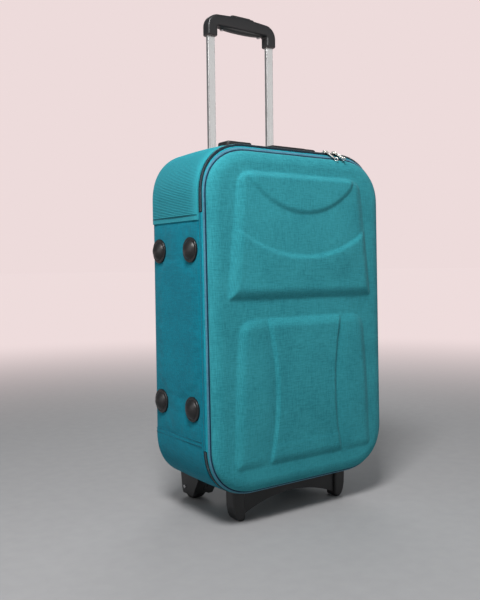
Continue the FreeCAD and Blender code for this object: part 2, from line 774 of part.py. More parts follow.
def handle_width(middle, width):
    """Y span of a handle part of a given width."""
    return f"{middle} - {width} / 2", f"{middle} + {width} / 2"


def side_handle():
    """The same carry handle on the right side, opposite the side feet."""
    face = "half_width"
    out = number(f"{face} + side_bracket_height")
    across = handle_width("side_handle_y", "bracket_width")
    room_y = handle_width("side_handle_y", "bracket_room")
    room_x = (f"{face} + 2.4", f"{face} + side_bracket_height - 1.6")
    brackets = []
    for name, side in (("lower", -1), ("upper", 1)):
        near = "handle_half - bracket_length"
        low, high = span(side, near, "handle_half")
        length = (f"side_handle_z + {low}", f"side_handle_z + {high}")
        block = box(f"side_bracket_block_{name}", (face, f"{face} + side_bracket_height"), across, length)
        block = fillet(f"side_bracket_sides_{name}", block, 6, lambda edge: along(edge, 0))
        block = fillet(f"side_bracket_round_{name}", block, 3, lambda edge: at_height(edge, 0, out))
        low, high = span(side, f"{near} - 1", "handle_half - bracket_end")
        length = (f"side_handle_z + {low}", f"side_handle_z + {high}")
        room = box(f"side_bracket_room_{name}", room_x, room_y, length)
        brackets.append(cut(f"side_bracket_{name}", block, room))
    keep("side_handle_brackets", group("side_brackets_group", brackets))
    bar = box("side_handle_bar", (f"{face} + 3", f"{face} + 5.8"),
              handle_width("side_handle_y", "tongue_width"),
              ("side_handle_z - handle_half + bracket_end + 1",
               "side_handle_z + handle_half - bracket_end - 1"))
    grip = box("side_handle_pad", (f"{face} + 2.8", f"{face} + 9.4"),
               handle_width("side_handle_y", "hand_pad_width"),
               ("side_handle_z - hand_pad_half", "side_handle_z + hand_pad_half"))
    grip = fillet("side_handle_pad_round", grip, 3, lambda edge: along(edge, 2))
    keep("side_handle_grip", fuse("side_handle_fused", bar, grip))


# ---------------------------------------------------------------- telescopic handle

def rectangle_about(side, width, depth, extra=0):
    """X and Y spans of a rectangle about one pole's centre line."""
    across = span(side, f"pole_x - {width} / 2 - {extra}", f"pole_x + {width} / 2 + {extra}")
    return across, (f"pole_y - {depth} / 2 - {extra}", f"pole_y + {depth} / 2 + {extra}")


def tube(name, side, width, depth, wall, low, high):
    """Rectangular tube with rounded long edges."""
    x, y = rectangle_about(side, width, depth)
    outer = box(f"{name}_outer", x, y, (low, high))
    outer = fillet(f"{name}_round", outer, 1.6, lambda edge: along(edge, 2))
    x, y = rectangle_about(side, width, depth, f"( -1 * {wall} )")
    inner = box(f"{name}_inner", x, y, (f"{low} - 1", f"{high} + 1"))
    return cut(f"{name}_tube", outer, inner)


def pin_hole(name, side, level, radius):
    """Hole in the outer narrow wall of a tube."""
    direction = "+X" if side > 0 else "-X"
    return cylinder(name, direction, (f"{side} * pole_x", "pole_y", level), radius, 14)


def outer_tubes():
    """Fixed outer tubes with three stop holes each, and their top and bottom holders."""
    for name, side in SIDES:
        sleeve = tube(f"outer_{name}", side, "sleeve_width", "sleeve_depth", "sleeve_wall",
                      "sleeve_bottom", "sleeve_top")
        stops = ("pin_z - stowed_drop", "pin_z", "pin_z + full_rise")
        holes = [pin_hole(f"stop_{name}_{i}", side, level, 2.8) for i, level in enumerate(stops)]
        keep(f"outer_tube_{name}", cut(f"outer_tube_{name}_cut", sleeve, *holes))
    handle_bezel()
    bracket = box("tube_foot_block", ("-1 * bezel_half + 4", "bezel_half - 4"),
                  ("gusset_back + 1", "pole_y + sleeve_depth / 2 + 0.4"),
                  ("sleeve_bottom - 3.7", "sleeve_bottom + 18"))
    sockets = []
    for name, side in SIDES:
        x, y = rectangle_about(side, "sleeve_width", "sleeve_depth", 0.05)
        level = ("sleeve_bottom - 0.05", "sleeve_bottom + 20")
        sockets.append(box(f"tube_foot_socket_{name}", x, y, level))
    keep("tube_foot_bracket", cut("tube_foot_cut", bracket, *sockets))


def handle_bezel():
    """Moulding in the top edge of the case that the poles slide through."""
    top = number("case_top + bezel_rise")
    block = box("bezel_block", ("-1 * bezel_half", "bezel_half"), ("gusset_back + 0.4", "pole_y + 8.8"),
                ("case_top - bezel_depth", "case_top + bezel_rise"))
    block = fillet("bezel_round", block, 5,
                   lambda edge: along(edge, 2) and edge.BoundBox.ZMax > top - 1)
    block = fillet("bezel_top_round", block, 2.5, lambda edge: at_height(edge, 2, top))
    collars = []
    openings = []
    for name, side in SIDES:
        x, y = rectangle_about(side, "sleeve_width", "sleeve_depth", 0.9)
        collars.append(box(f"bezel_collar_{name}", x, (y[0], "pole_y + 5.9"),
                           ("sleeve_top - 14", "case_top - bezel_depth + 1")))
        x, y = rectangle_about(side, "sleeve_width", "sleeve_depth", 0.05)
        openings.append(box(f"bezel_socket_{name}", x, y, ("sleeve_top - 20", "sleeve_top")))
        x, y = rectangle_about(side, "pole_width", "pole_depth", 0.35)
        openings.append(box(f"bezel_slot_{name}", x, y, ("sleeve_top - 1", "case_top + 10")))
    keep("tube_bezel", cut("bezel_cut", fuse("bezel_blank", block, *collars), *openings))


def trolley():
    """Sliding poles, their end plugs, the grip and its fastenings."""
    plugs = []
    for name, side in SIDES:
        pole = tube(f"pole_{name}", side, "pole_width", "pole_depth", "pole_wall",
                    "pole_bottom", "grip_underside + 4")
        hole = pin_hole(f"pole_hole_{name}", side, "pin_z", 2.6)
        keep(f"inner_tube_{name}", cut(f"inner_tube_{name}_cut", pole, hole))
        x, y = rectangle_about(side, "pole_width", "pole_depth", "( -1 * pole_wall - 0.05 )")
        plug = box(f"plug_block_{name}", x, y, ("pole_bottom + 1", "pole_bottom + 30"))
        plugs.append(cut(f"plug_{name}", plug, pin_hole(f"plug_bore_{name}", side, "pin_z", 2.55),
                         pin_inner_room(name, side)))
    keep("tube_plugs", group("tube_plugs_group", plugs))
    grip()


def pin_inner_room(name, side):
    """Room behind a lock pin that it is drawn back into."""
    direction = "-X" if side > 0 else "+X"
    start = (f"{side} * ( pole_x + 1 )", "pole_y", "pin_z")
    return cylinder(f"plug_room_{name}", direction, start, 2.55, 6)


def grip():
    """Grip shell with two legs, its lower insert and the two screws that hold it."""
    depth = ("pole_y - grip_depth / 2", "pole_y + grip_depth / 2")
    bar = box("grip_bar", ("-1 * grip_half", "grip_half"), depth, ("grip_underside", "grip_top"))
    bar = fillet("grip_shoulders", bar, 17,
                 lambda edge: along(edge, 1) and edge.BoundBox.ZMin > number("grip_top - 1"))
    legs = [bar]
    tools = []
    for name, side in SIDES:
        legs.append(box(f"grip_leg_{name}", span(side, "grip_leg_inner", "grip_half"), depth,
                        ("grip_low", "grip_underside + 1")))
        x, y = rectangle_about(side, "pole_width", "pole_depth")
        tools.append(box(f"grip_socket_{name}", x, y, ("grip_low - 1", "grip_underside + 4")))
    blank = fuse("grip_blank", *legs)
    rounded = fillet("grip_round", blank, 4.5, grip_edge)
    tools.append(box("grip_cavity", ("-1 * grip_half + 4", "grip_half - 4"), ("pole_y - 8", "pole_y + 8"),
                     ("grip_underside + 4", "grip_underside + 19")))
    tools.append(box("grip_insert_seat", ("-1 * insert_half - 0.2", "insert_half + 0.2"),
                     ("pole_y - 9", "pole_y + 9"), ("grip_underside - 2", "grip_underside + 5")))
    tools.append(box("grip_button_well", ("-1 * button_half - 0.4", "button_half + 0.4"),
                     ("pole_y - 6.4", "pole_y + 6.4"), ("grip_underside + 4", "grip_top + 5")))
    screws = []
    for name, side in SIDES:
        x = f"{side} * grip_screw_x"
        tools.append(cylinder(f"grip_screw_hole_{name}", "+Z", (x, "pole_y", "grip_underside + 1"), 1.6, 8))
        shank = cylinder(f"grip_shank_{name}", "+Z", (x, "pole_y", "grip_underside - 1"), 1.5, 6.2)
        head = cylinder(f"grip_head_{name}", "+Z", (x, "pole_y", "grip_underside - 2.2"), 3.2, 2)
        screws.append(fuse(f"grip_screw_{name}", shank, head))
    keep("grip_shell", cut("grip_shell_cut", rounded, *tools))
    insert = box("grip_insert_block", ("-1 * insert_half", "insert_half"), ("pole_y - 8.8", "pole_y + 8.8"),
                 ("grip_underside - 2.5", "grip_underside + 3.8"))
    insert = fillet("grip_insert_round", insert, 2,
                    lambda edge: at_height(edge, 2, number("grip_underside - 2.5")))
    holes = []
    for name, side in SIDES:
        x = f"{side} * grip_screw_x"
        holes.append(cylinder(f"insert_hole_{name}", "+Z", (x, "pole_y", "grip_underside - 4"), 1.55, 10))
        holes.append(cylinder(f"insert_seat_{name}", "+Z", (x, "pole_y", "grip_underside - 3"), 3.3, 2.8))
    keep("grip_insert", cut("grip_insert_cut", insert, *holes))
    keep("grip_screws", group("grip_screws_group", screws))


def grip_edge(edge):
    """Long outer edges of the grip, front and back, that the hand meets."""
    bounds = edge.BoundBox
    outer = (number("pole_y - grip_depth / 2"), number("pole_y + grip_depth / 2"))
    flat = abs(bounds.YMax - bounds.YMin) < 1e-6
    on_face = flat and min(abs(bounds.YMin - level) for level in outer) < 1e-6
    return on_face and edge.Length > 2


def button_group():
    """Push button with its yoke, the two push rods, the return spring and the lock pins."""
    level = ("grip_underside + 10.6", "grip_top + 2")
    top = number("grip_top + 2")
    block = box("button_block", ("-1 * button_half", "button_half"), ("pole_y - 6", "pole_y + 6"), level)
    block = fillet("button_ends", block, 5, lambda edge: along(edge, 2))
    keep("push_button", fillet("button_round", block, 1.5, lambda edge: at_height(edge, 2, top)))
    yoke_level = ("grip_underside + 8.6", "grip_underside + 10.6")
    keep("rod_yoke", box("rod_yoke_bar", (-71, 71), ("pole_y - 4", "pole_y + 4"), yoke_level))
    rods = []
    for name, side in SIDES:
        start = (f"{side} * pole_x", "pole_y", "pole_bottom + 36")
        rods.append(cylinder(f"rod_{name}", "+Z", start, 1.5, "grip_underside + 8.6 - pole_bottom - 36"))
        pin_start = (f"{side} * ( pole_x + 1.2 )", "pole_y", "pin_z")
        direction = "+X" if side > 0 else "-X"
        pin = cylinder(f"pin_{name}", direction, pin_start, 2.45, "pole_width / 2 - 1.3")
        keep(f"lock_pin_{name}", pin)
    keep("push_rods", group("push_rods_group", rods))
    coil = doc.addObject("Part::Feature", "button_spring_wire")
    coil.Shape = spring(3.2, 0.5, number("grip_underside + 4.4"), number("grip_underside + 8"), 3)
    coil.Placement = FreeCAD.Placement(Vector(0, number("pole_y"), 0), Rotation())
    keep("button_spring", coil)


def spring(radius, wire, low, high, turns):
    """Helical wire between two heights about the Z axis."""
    path = Part.makeHelix((high - low) / turns, high - low, radius)
    path.translate(Vector(0, 0, low))
    start = path.Edges[0].Vertexes[0].Point
    section = Part.Wire([Part.makeCircle(wire, start, Vector(0, 1, 0))])
    return Part.Wire(path.Edges).makePipeShell([section], True, True)


# ---------------------------------------------------------------- wheels and feet

def wheels():
    """Two fixed rear wheels: housing, tyre, hub and axle pin."""
    axles = []
    for name, side in SIDES:
        wheel_housing(name, side)
        start = span(side, "wheel_x - wheel_width / 2", "wheel_x + wheel_width / 2")[0]
        tread = about_axle(f"tyre_disc_{name}", start, "wheel_radius", "wheel_width")
        tread = fillet(f"tyre_round_{name}", tread, 3, lambda edge: edge.Length > 100)
        core = about_axle(f"tyre_core_{name}", start, "hub_radius", "wheel_width")
        keep(f"wheel_tyre_{name}", cut(f"tyre_cut_{name}", tread, core))
        hub = about_axle(f"hub_disc_{name}", start, "hub_radius", "wheel_width")
        recesses = []
        for end, x in (("a", start), ("b", f"{start} + wheel_width - hub_recess")):
            outer = about_axle(f"hub_ring_{name}_{end}", x, "hub_radius - 2.5", "hub_recess")
            inner = about_axle(f"hub_boss_{name}_{end}", x, 6, "hub_recess")
            recesses.append(cut(f"hub_recess_{name}_{end}", outer, inner))
        bore = about_axle(f"hub_bore_{name}", f"{start} - 1", "axle_radius + 0.06", "wheel_width + 2")
        keep(f"wheel_hub_{name}", cut(f"hub_cut_{name}", hub, *recesses, bore))
        axles.append(axle_cylinder(f"axle_{name}", side))
    keep("wheel_axles", group("wheel_axles_group", axles))


def about_axle(name, x, radius, length):
    """Cylinder about the wheels' axis, from x towards the right."""
    return cylinder(name, "+X", (x, "wheel_y", "wheel_radius"), radius, length)


def axle_cylinder(name, side):
    """The room that one wheel's axle pin takes up, from arm to arm of its housing."""
    x = span(side, "wheel_x - axle_length / 2", "wheel_x + axle_length / 2")[0]
    return about_axle(name, x, "axle_radius", "axle_length")


def wheel_housing(name, side):
    """Moulded fork that wraps the rear bottom corner and carries one wheel."""
    profile = new_body(f"housing_profile_{name}")
    sketch = new_sketch(profile, "YZ_Plane", f"housing_side_{name}", 0 if side > 0 else -200)
    polygon(sketch, ((46, 75), (46, 44), (68, 11), (101, 11), (107, 24), (107, 62), (93, 96), (80, 96)))
    pad(profile, sketch, 200)
    front = new_body(f"housing_front_{name}")
    sketch = new_sketch(front, "XZ_Plane", f"housing_face_{name}", -120)
    corners = ((76, 100), (81, 8), (123, 8), (131, 100))
    polygon(sketch, [(side * x, z) for x, z in corners])
    pad(front, sketch, 90)
    blank = common(f"housing_blank_{name}", profile, front)
    blank = fillet(f"housing_round_{name}", blank, 5, housing_corner)
    across = span(side, "wheel_x - wheel_width / 2 - 2", "wheel_x + wheel_width / 2 + 2")
    well = box(f"housing_well_{name}", across, (66, 125), (-1, 51))
    axle_bore = axle_cylinder(f"housing_bore_{name}", side)
    screws = underside_cylinders(f"housing_hole_{name}", "screw_radius + 0.05", 36, 80)[2:]
    heads = underside_cylinders(f"housing_seat_{name}", "screw_head_radius + 0.3", -1, 44)[2:]
    index = 0 if side < 0 else 1
    keep(f"wheel_housing_{name}",
         cut(f"housing_cut_{name}", blank, envelope(f"housing_envelope_{name}"), well, axle_bore,
             screws[index], heads[index]))


def housing_corner(edge):
    """The upright outer edges at the back of a wheel housing."""
    bounds = edge.BoundBox
    return bounds.YMin > 100 and bounds.XMax - bounds.XMin < 12 and edge.Length > 20


def foot_bar():
    """One moulded bar across the front: an arched beam with a rounded leg at each end."""
    depth = ("foot_bar_y - foot_bar_depth / 2", "foot_bar_y + foot_bar_depth / 2")
    beam = ("foot_bar_y - beam_depth / 2", "foot_bar_y + beam_depth / 2")
    bar = box("foot_bar_beam", ("-1 * leg_centre", "leg_centre"), beam, (8, 80))
    start = (0, "foot_bar_y - foot_bar_depth", "arch_crown - arch_radius")
    arch = cylinder("foot_bar_arch", "+Y", start, "arch_radius", "2 * foot_bar_depth")
    pieces = [cut("foot_bar_beam_cut", bar, arch)]
    for name, side in SIDES:
        leg = new_body(f"leg_{name}")
        back = "-1 * ( foot_bar_y + foot_bar_depth / 2 )"
        sketch = new_sketch(leg, "XZ_Plane", f"leg_outline_{name}", back)
        centre = number("leg_centre")
        points = ((-7, 80), (-7, 6), (-6, 0), (5, 0), (10, 4), (14, 12), (16.4, 24), (17, 38), (17, 80))
        polygon(sketch, [(side * (centre + x), z) for x, z in points])
        pad(leg, sketch, "foot_bar_depth")
        round_edges(leg, 5, lambda edge: along(edge, 1) and edge.BoundBox.ZMax < 30)
        faces = [number(level) for level in depth]
        round_edges(leg, 4, lambda edge: any(at_height(edge, 1, face) for face in faces)
                    and edge.BoundBox.ZMax < 85 and edge.BoundBox.ZMin < 70)
        pieces.append(leg)
    blank = fuse("foot_bar_blank", *pieces)
    trimmed = cut("foot_bar_trimmed", blank, envelope("foot_bar_envelope"))
    holes = underside_cylinders("foot_bar_hole", "screw_radius + 0.05", 20, 80)[:2]
    seats = underside_cylinders("foot_bar_seat", "screw_head_radius + 0.3", 15, 36)[:2]
    keep("front_foot_bar", cut("foot_bar_cut", trimmed, *holes, *seats))


def underside_screws():
    """Two screws up through the foot bar and one through each wheel housing."""
    screws = []
    for index, (x, y) in enumerate(screw_points(), start=1):
        seat, length = (36, 24.5) if index < 3 else (44, 16)
        shank = cylinder(f"under_shank_{index}", "+Z", (x, y, seat), "screw_radius", length)
        head = cylinder(f"under_head_{index}", "+Z", (x, y, seat - 2.6), "screw_head_radius", 2.6)
        screws.append(fuse(f"under_screw_{index}", shank, head))
    keep("underside_screws", group("underside_screws_group", screws))


# ---------------------------------------------------------------- build and write

def write_nodes():
    """Check every object, then write one STEP file for each node."""
    doc.recompute()
    for item in doc.Objects:
        if "Invalid" in item.State or "Error" in item.State:
            raise RuntimeError(f"{item.Name} failed: {item.State}")
    os.makedirs("parts", exist_ok=True)
    for item in nodes:
        shape = item.Shape
        if shape.isNull() or not shape.isValid() or not shape.Solids:
            raise RuntimeError(f"{item.Label} has no valid solid")
        shape.exportStep(f"parts/{item.Label}.step")
        bounds = shape.optimalBoundingBox()
        print(f"{item.Label:24s} solids {len(shape.Solids)} volume {shape.Volume:10.0f}"
              f" x {bounds.XMin:.1f}..{bounds.XMax:.1f} y {bounds.YMin:.1f}..{bounds.YMax:.1f}"
              f" z {bounds.ZMin:.1f}..{bounds.ZMax:.1f}")
    print(len(nodes), "nodes")


gussets()
back_panel()
stiffeners()
packing_straps()
side_feet()
zip_parts()
lid()
lock()
top_handle()
side_handle()
outer_tubes()
trolley()
button_group()
wheels()
foot_bar()
underside_screws()
write_nodes()
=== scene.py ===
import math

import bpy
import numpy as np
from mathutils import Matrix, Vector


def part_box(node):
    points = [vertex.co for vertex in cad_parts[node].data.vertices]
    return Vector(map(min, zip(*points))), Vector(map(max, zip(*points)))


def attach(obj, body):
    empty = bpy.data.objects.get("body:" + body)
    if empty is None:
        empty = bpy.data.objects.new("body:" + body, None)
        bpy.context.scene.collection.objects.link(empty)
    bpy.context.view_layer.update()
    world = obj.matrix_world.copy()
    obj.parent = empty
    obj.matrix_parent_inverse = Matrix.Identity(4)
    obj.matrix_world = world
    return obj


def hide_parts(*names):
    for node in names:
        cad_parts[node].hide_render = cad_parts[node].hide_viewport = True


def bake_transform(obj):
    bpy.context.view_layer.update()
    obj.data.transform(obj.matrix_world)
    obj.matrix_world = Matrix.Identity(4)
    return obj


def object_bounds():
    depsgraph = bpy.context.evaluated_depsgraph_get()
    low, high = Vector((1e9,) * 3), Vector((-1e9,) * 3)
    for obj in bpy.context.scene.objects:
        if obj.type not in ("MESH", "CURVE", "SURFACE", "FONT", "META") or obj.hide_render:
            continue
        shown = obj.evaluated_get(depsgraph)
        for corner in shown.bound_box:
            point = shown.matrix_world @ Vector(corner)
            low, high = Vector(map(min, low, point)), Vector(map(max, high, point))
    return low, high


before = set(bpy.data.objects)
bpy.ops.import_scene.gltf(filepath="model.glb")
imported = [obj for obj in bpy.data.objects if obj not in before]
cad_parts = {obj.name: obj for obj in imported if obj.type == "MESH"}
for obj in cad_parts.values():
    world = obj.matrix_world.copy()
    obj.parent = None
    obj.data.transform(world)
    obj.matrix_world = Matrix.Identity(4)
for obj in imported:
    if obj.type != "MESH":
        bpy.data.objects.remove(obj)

# The looks of a softside upright suitcase, in metres and in the CAD's own frame: X runs across
# the case, -Y is the front, +Z is up.  The case outline is one soft-cornered rectangle, seen
# from the front.  A place on it is a length along the outline from the bottom centre,
# anticlockwise (up the right side, over the top, down the left), and an inset is a distance
# inwards from it.

CAD_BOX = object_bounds()
MM = 0.001
TAU = 2 * math.pi

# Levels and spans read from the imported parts.
BACK_LOW, BACK_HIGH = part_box("back_panel")
GUSSET_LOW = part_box("upper_gusset")[0]
HALF = BACK_HIGH.x
LOW, HIGH = BACK_LOW.z, BACK_HIGH.z
MIDDLE = (LOW + HIGH) / 2
FRONT_Y = GUSSET_LOW.y
BACK_Y = BACK_HIGH.y
SEAM_HIGH = GUSSET_LOW.z
SEAM_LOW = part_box("lower_gusset")[1].z
ZIP_Y = (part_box("body_zip_tape")[0].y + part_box("lid_band")[1].y) / 2
HINGE_LOW, HINGE_HIGH = (corner.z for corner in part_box("hinge_binding"))
SHELL_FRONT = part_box("lid_shell")[0].y + 14.5 * MM  # the moulded front's plane, under its emboss
LID_LINING_Y = SHELL_FRONT + 5.5 * MM
PIPING_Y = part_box("lid_piping")[1].y + 2.6 * MM
LINING_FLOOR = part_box("body_lining")[1].y - 1.4 * MM

# The outline's soft corners: a superellipse of this size and power.
CORNER = 86 * MM
CORNER_POWER = 2.27
BACK_RADIUS = 12 * MM
WALL = 4 * MM

# How the fabric stands: the front's foot forward and its top back, the lid's edge drawn in.
FOOT_FORWARD, TOP_BACK = 4.5 * MM, 2.0 * MM
LID_TOP_BACK = 3 * MM
LID_TOP_DROP, LID_FOOT_LIFT = 8 * MM, 4 * MM
LID_EDGE_REACH = 100 * MM

# The colour behind the case and, far away, of the floor.
BACKDROP = (237, 219, 219)


def smooth_step(value, low, high):
    """0 below low, 1 above high and a smooth rise between them."""
    share = np.clip((value - low) / (high - low), 0, 1)
    return share * share * (3 - 2 * share)


def bent(value, power):
    """Power of a value's size, with the value's own sign."""
    return np.sign(value) * abs(value) ** power


def section_at(level, *points):
    """Section from (inset, depth) pairs in millimetres, with the depths counted from a level."""
    return [(inset * MM, level + depth * MM) for inset, depth in points]


def middle_of(node):
    """Centre of a CAD part's box."""
    low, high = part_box(node)
    return (low + high) / 2


# ---------------------------------------------------------------- the case outline

def outline_table():
    """Points, outward normals and lengths along the case outline."""
    turn = np.linspace(0, math.pi / 2, 400)
    bend = CORNER * (1 - np.cos(turn) ** (2 / CORNER_POWER))
    rise = CORNER * np.sin(turn) ** (2 / CORNER_POWER)
    corner_x, corner_z = HALF - CORNER + rise, LOW + bend
    x = np.concatenate([[0], corner_x, corner_x[::-1], [0]])
    z = np.concatenate([[LOW], corner_z, LOW + HIGH - corner_z[::-1], [HIGH]])
    x, z = np.concatenate([x, -x[-2::-1]]), np.concatenate([z, z[-2::-1]])
    length = np.concatenate([[0], np.cumsum(np.hypot(np.diff(x), np.diff(z)))])
    even = np.linspace(0, length[-1], 3600, endpoint=False)
    x, z = np.interp(even, length, x), np.interp(even, length, z)
    along_x, along_z = np.roll(x, -3) - np.roll(x, 3), np.roll(z, -3) - np.roll(z, 3)
    size = np.hypot(along_x, along_z)
    return even, x, z, along_z / size, -along_x / size, length[-1]


PLACE, OUT_X, OUT_Z, NORMAL_X, NORMAL_Z, AROUND = outline_table()


def at_place(place, values):
    """Values of an outline table at places on the outline, which may run past either end."""
    return np.interp(np.mod(place, AROUND), PLACE, values, period=AROUND)


def rim(place, inset):
    """(x, z) at places on the outline, moved inwards by inset."""
    x = at_place(place, OUT_X) - at_place(place, NORMAL_X) * inset
    z = at_place(place, OUT_Z) - at_place(place, NORMAL_Z) * inset
    return x, z


def place_at(side, level):
    """Place on the outline's right (side 1) or left (side -1) at a height."""
    right = (OUT_X > 0) & (PLACE < AROUND / 2)
    place = float(np.interp(level, OUT_Z[right], PLACE[right]))
    return place if side > 0 else AROUND - place


ZIP_START = place_at(-1, HINGE_LOW) - AROUND
ZIP_END = place_at(-1, HINGE_HIGH)


def lean(points):
    """Points with the front of the case as it stands: further out at the foot than at the top,
    and the lid's edge drawn in a little above and below."""
    rise = np.clip((points[:, 2] - LOW) / (HIGH - LOW), 0, 1)
    front = smooth_step(-points[:, 1], 30 * MM, 68 * MM)
    lid = smooth_step(-points[:, 1], 78 * MM, 91 * MM)
    moved = points.copy()
    moved[:, 1] += front * ((FOOT_FORWARD + TOP_BACK) * rise - FOOT_FORWARD) + lid * LID_TOP_BACK * rise
    moved[:, 2] -= lid * LID_TOP_DROP * smooth_step(points[:, 2], HIGH - LID_EDGE_REACH, HIGH)
    moved[:, 2] += lid * LID_FOOT_LIFT * smooth_step(-points[:, 2], -LOW - LID_EDGE_REACH, -LOW)
    return moved


# ---------------------------------------------------------------- mesh helpers

def volume_sign(vertices, faces):
    """1 if the faces of a closed mesh look outwards, and -1 if they look inwards."""
    total = 0.0
    for size in {len(face) for face in faces}:
        corners = vertices[np.array([face for face in faces if len(face) == size])]
        turned = np.cross(corners, np.roll(corners, -1, 1)).sum(1)
        total += float((corners.mean(1) * turned).sum())
    return 1 if total >= 0 else -1


def solid(name, vertices, faces, material, body, smooth=40, closed=True, leaning=True):
    """Mesh object from points and faces, shaded smooth up to an angle, riding on a body."""
    vertices = np.asarray(vertices, float)
    if leaning:
        vertices = lean(vertices)
    if closed and volume_sign(vertices, faces) < 0:
        faces = [tuple(reversed(face)) for face in faces]
    mesh = bpy.data.meshes.new(name)
    mesh.from_pydata(vertices.tolist(), [], [tuple(int(i) for i in face) for face in faces])
    mesh.shade_smooth()
    mesh.set_sharp_from_angle(angle=math.radians(smooth))
    mesh.materials.append(material)
    made = bpy.data.objects.new(name, mesh)
    bpy.context.scene.collection.objects.link(made)
    if body:
        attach(made, body)
    return made


def grid_faces(rows, columns, wrap=False):
    """Quads of a grid of points, row by row; wrap joins the last column to the first."""
    across = columns if wrap else columns - 1
    faces = []
    for row in range(rows - 1):
        for column in range(across):
            here, beside = row * columns + column, row * columns + (column + 1) % columns
            faces.append((here, beside, beside + columns, here + columns))
    return faces


def tube_faces(rings, sides, capped=True):
    """Faces of a tube of rings of points: with a cap at each end, or joined end to end."""
    faces = grid_faces(rings, sides, wrap=True)
    last = (rings - 1) * sides
    if capped:
        return faces + [tuple(range(sides))[::-1], tuple(range(last, last + sides))]
    return faces + [(last + i, last + (i + 1) % sides, (i + 1) % sides, i) for i in range(sides)]


def joined(parts):
    """Several (vertices, faces) as one."""
    vertices, faces, start = [], [], 0
    for points, cells in parts:
        vertices.append(np.asarray(points, float))
        faces += [tuple(i + start for i in cell) for cell in cells]
        start += len(points)
    return np.concatenate(vertices), faces


def sweep(section, places, wrap=False, outward=None):
    """(vertices, faces) of a solid whose closed section of (inset, y) follows the outline.
    outward(place, y) pushes points out, more the nearer they are to the section's outside."""
    section = np.array(section, float)
    places = np.asarray(places, float)
    inset = np.broadcast_to(section[:, 0], (len(places), len(section))).copy()
    depth = np.broadcast_to(section[:, 1], inset.shape)
    if outward is not None:
        outside = 1 - np.clip((inset - inset.min()) / (1.5 * MM), 0, 1)
        inset -= outside * outward(places[:, None], depth)
    x, z = rim(places[:, None], inset)
    vertices = np.stack([x, depth, z], -1).reshape(-1, 3)
    return vertices, tube_faces(len(places), len(section), capped=not wrap)


def ring_places(step):
    """Places all round the outline."""
    return np.linspace(0, AROUND, int(AROUND / step), endpoint=False)


def stretch(start, end, step):
    """Places from start to end."""
    return np.linspace(start, end, max(2, int(abs(end - start) / step) + 1))


def arc(centre, radius, start, end, count):
    """Points on an arc, angles in degrees."""
    turn = np.radians(np.linspace(start, end, count))
    x, y = centre
    return [(x + radius * math.cos(angle), y + radius * math.sin(angle)) for angle in turn]


def lathe(profile, centre, axis, count=64):
    """(vertices, faces) of a closed profile of (radius, along) turned about an axis (0 X, 2 Z)."""
    turn = np.linspace(0, TAU, count, endpoint=False)
    radius, along = np.array(profile, float).T
    first, second = np.outer(np.cos(turn), radius), np.outer(np.sin(turn), radius)
    level = np.broadcast_to(along, first.shape)
    order = {0: (level, first, second), 2: (first, second, level)}[axis]
    vertices = np.stack(order, -1).reshape(-1, 3) + np.array(centre)
    return outward_faces(vertices, tube_faces(count, len(profile), capped=False))


def beads(points, along, up, half_length, radius, sides=6):
    """(vertices, faces) of many small spindles: one at each point, lying along a direction."""
    points, along, up = (np.asarray(v, float) for v in (points, along, up))
    along = along / np.linalg.norm(along, axis=1)[:, None]
    across = np.cross(up, along)
    across /= np.linalg.norm(across, axis=1)[:, None]
    up = np.cross(along, across)
    rings = ((-1.0, 0.25), (-0.72, 0.85), (0.0, 1.0), (0.72, 0.85), (1.0, 0.25))
    turn = np.linspace(0, TAU, sides, endpoint=False)
    layers = []
    for shift, size in rings:
        middle = points + along * half_length * shift
        for angle in turn:
            aside = across * math.cos(angle) + up * math.sin(angle)
            layers.append(middle + aside * radius * size)
    vertices = np.stack(layers, 1)
    per = len(rings) * sides
    one = tube_faces(len(rings), sides)
    faces = []
    for index in range(len(points)):
        faces += [tuple(i + index * per for i in face) for face in one]
    return vertices.reshape(-1, 3), faces


def ripple(u, v, size, seed):
    """Soft irregular waves, about -1 to 1, over two directions."""
    rng = np.random.default_rng(seed)
    total = np.zeros(np.broadcast(u, v).shape)
    for _ in range(7):
        angle, phase, stride = rng.uniform(0, TAU), rng.uniform(0, TAU), rng.uniform(0.6, 1.7)
        run = u * math.cos(angle) + v * math.sin(angle)
        total = total + np.sin(run * TAU / (size * stride) + phase)
    return total / 3.2


# ---------------------------------------------------------------- panels that fill the outline

def panel_points(edge_inset, columns, rows):
    """Grid over the outline: (x, z, share of the way to the edge, place of the edge beyond)."""
    across, up = np.meshgrid(np.linspace(-1, 1, columns), np.linspace(-1, 1, rows))
    share = np.maximum(np.maximum(abs(across), abs(up)), 1e-9)
    wide, tall = HALF - edge_inset, (HIGH - LOW) / 2 - edge_inset
    edge_x, edge_z = rim(PLACE, edge_inset)
    angle = np.unwrap(np.arctan2(edge_z - MIDDLE, edge_x))
    wanted = np.arctan2(up * tall, across * wide)
    wanted = angle[0] + np.mod(wanted - angle[0], TAU)
    place = np.interp(wanted, np.append(angle, angle[0] + TAU), np.append(PLACE, AROUND))
    round_x, round_z = rim(place, edge_inset)
    square_x, square_z = across / share * wide, up / share * tall
    pull = share ** 5
    x = across * wide + (round_x - square_x) * pull
    z = MIDDLE + up * tall + (round_z - MIDDLE - square_z) * pull
    return x, z, share, place


def border_indices(columns, rows):
    """Indices of a grid's border points, in order round it."""
    low = list(range(columns - 1))
    right = [row * columns + columns - 1 for row in range(rows - 1)]
    high = [(rows - 1) * columns + column for column in range(columns - 1, 0, -1)]
    left = [row * columns for row in range(rows - 1, 0, -1)]
    return low + right + high + left


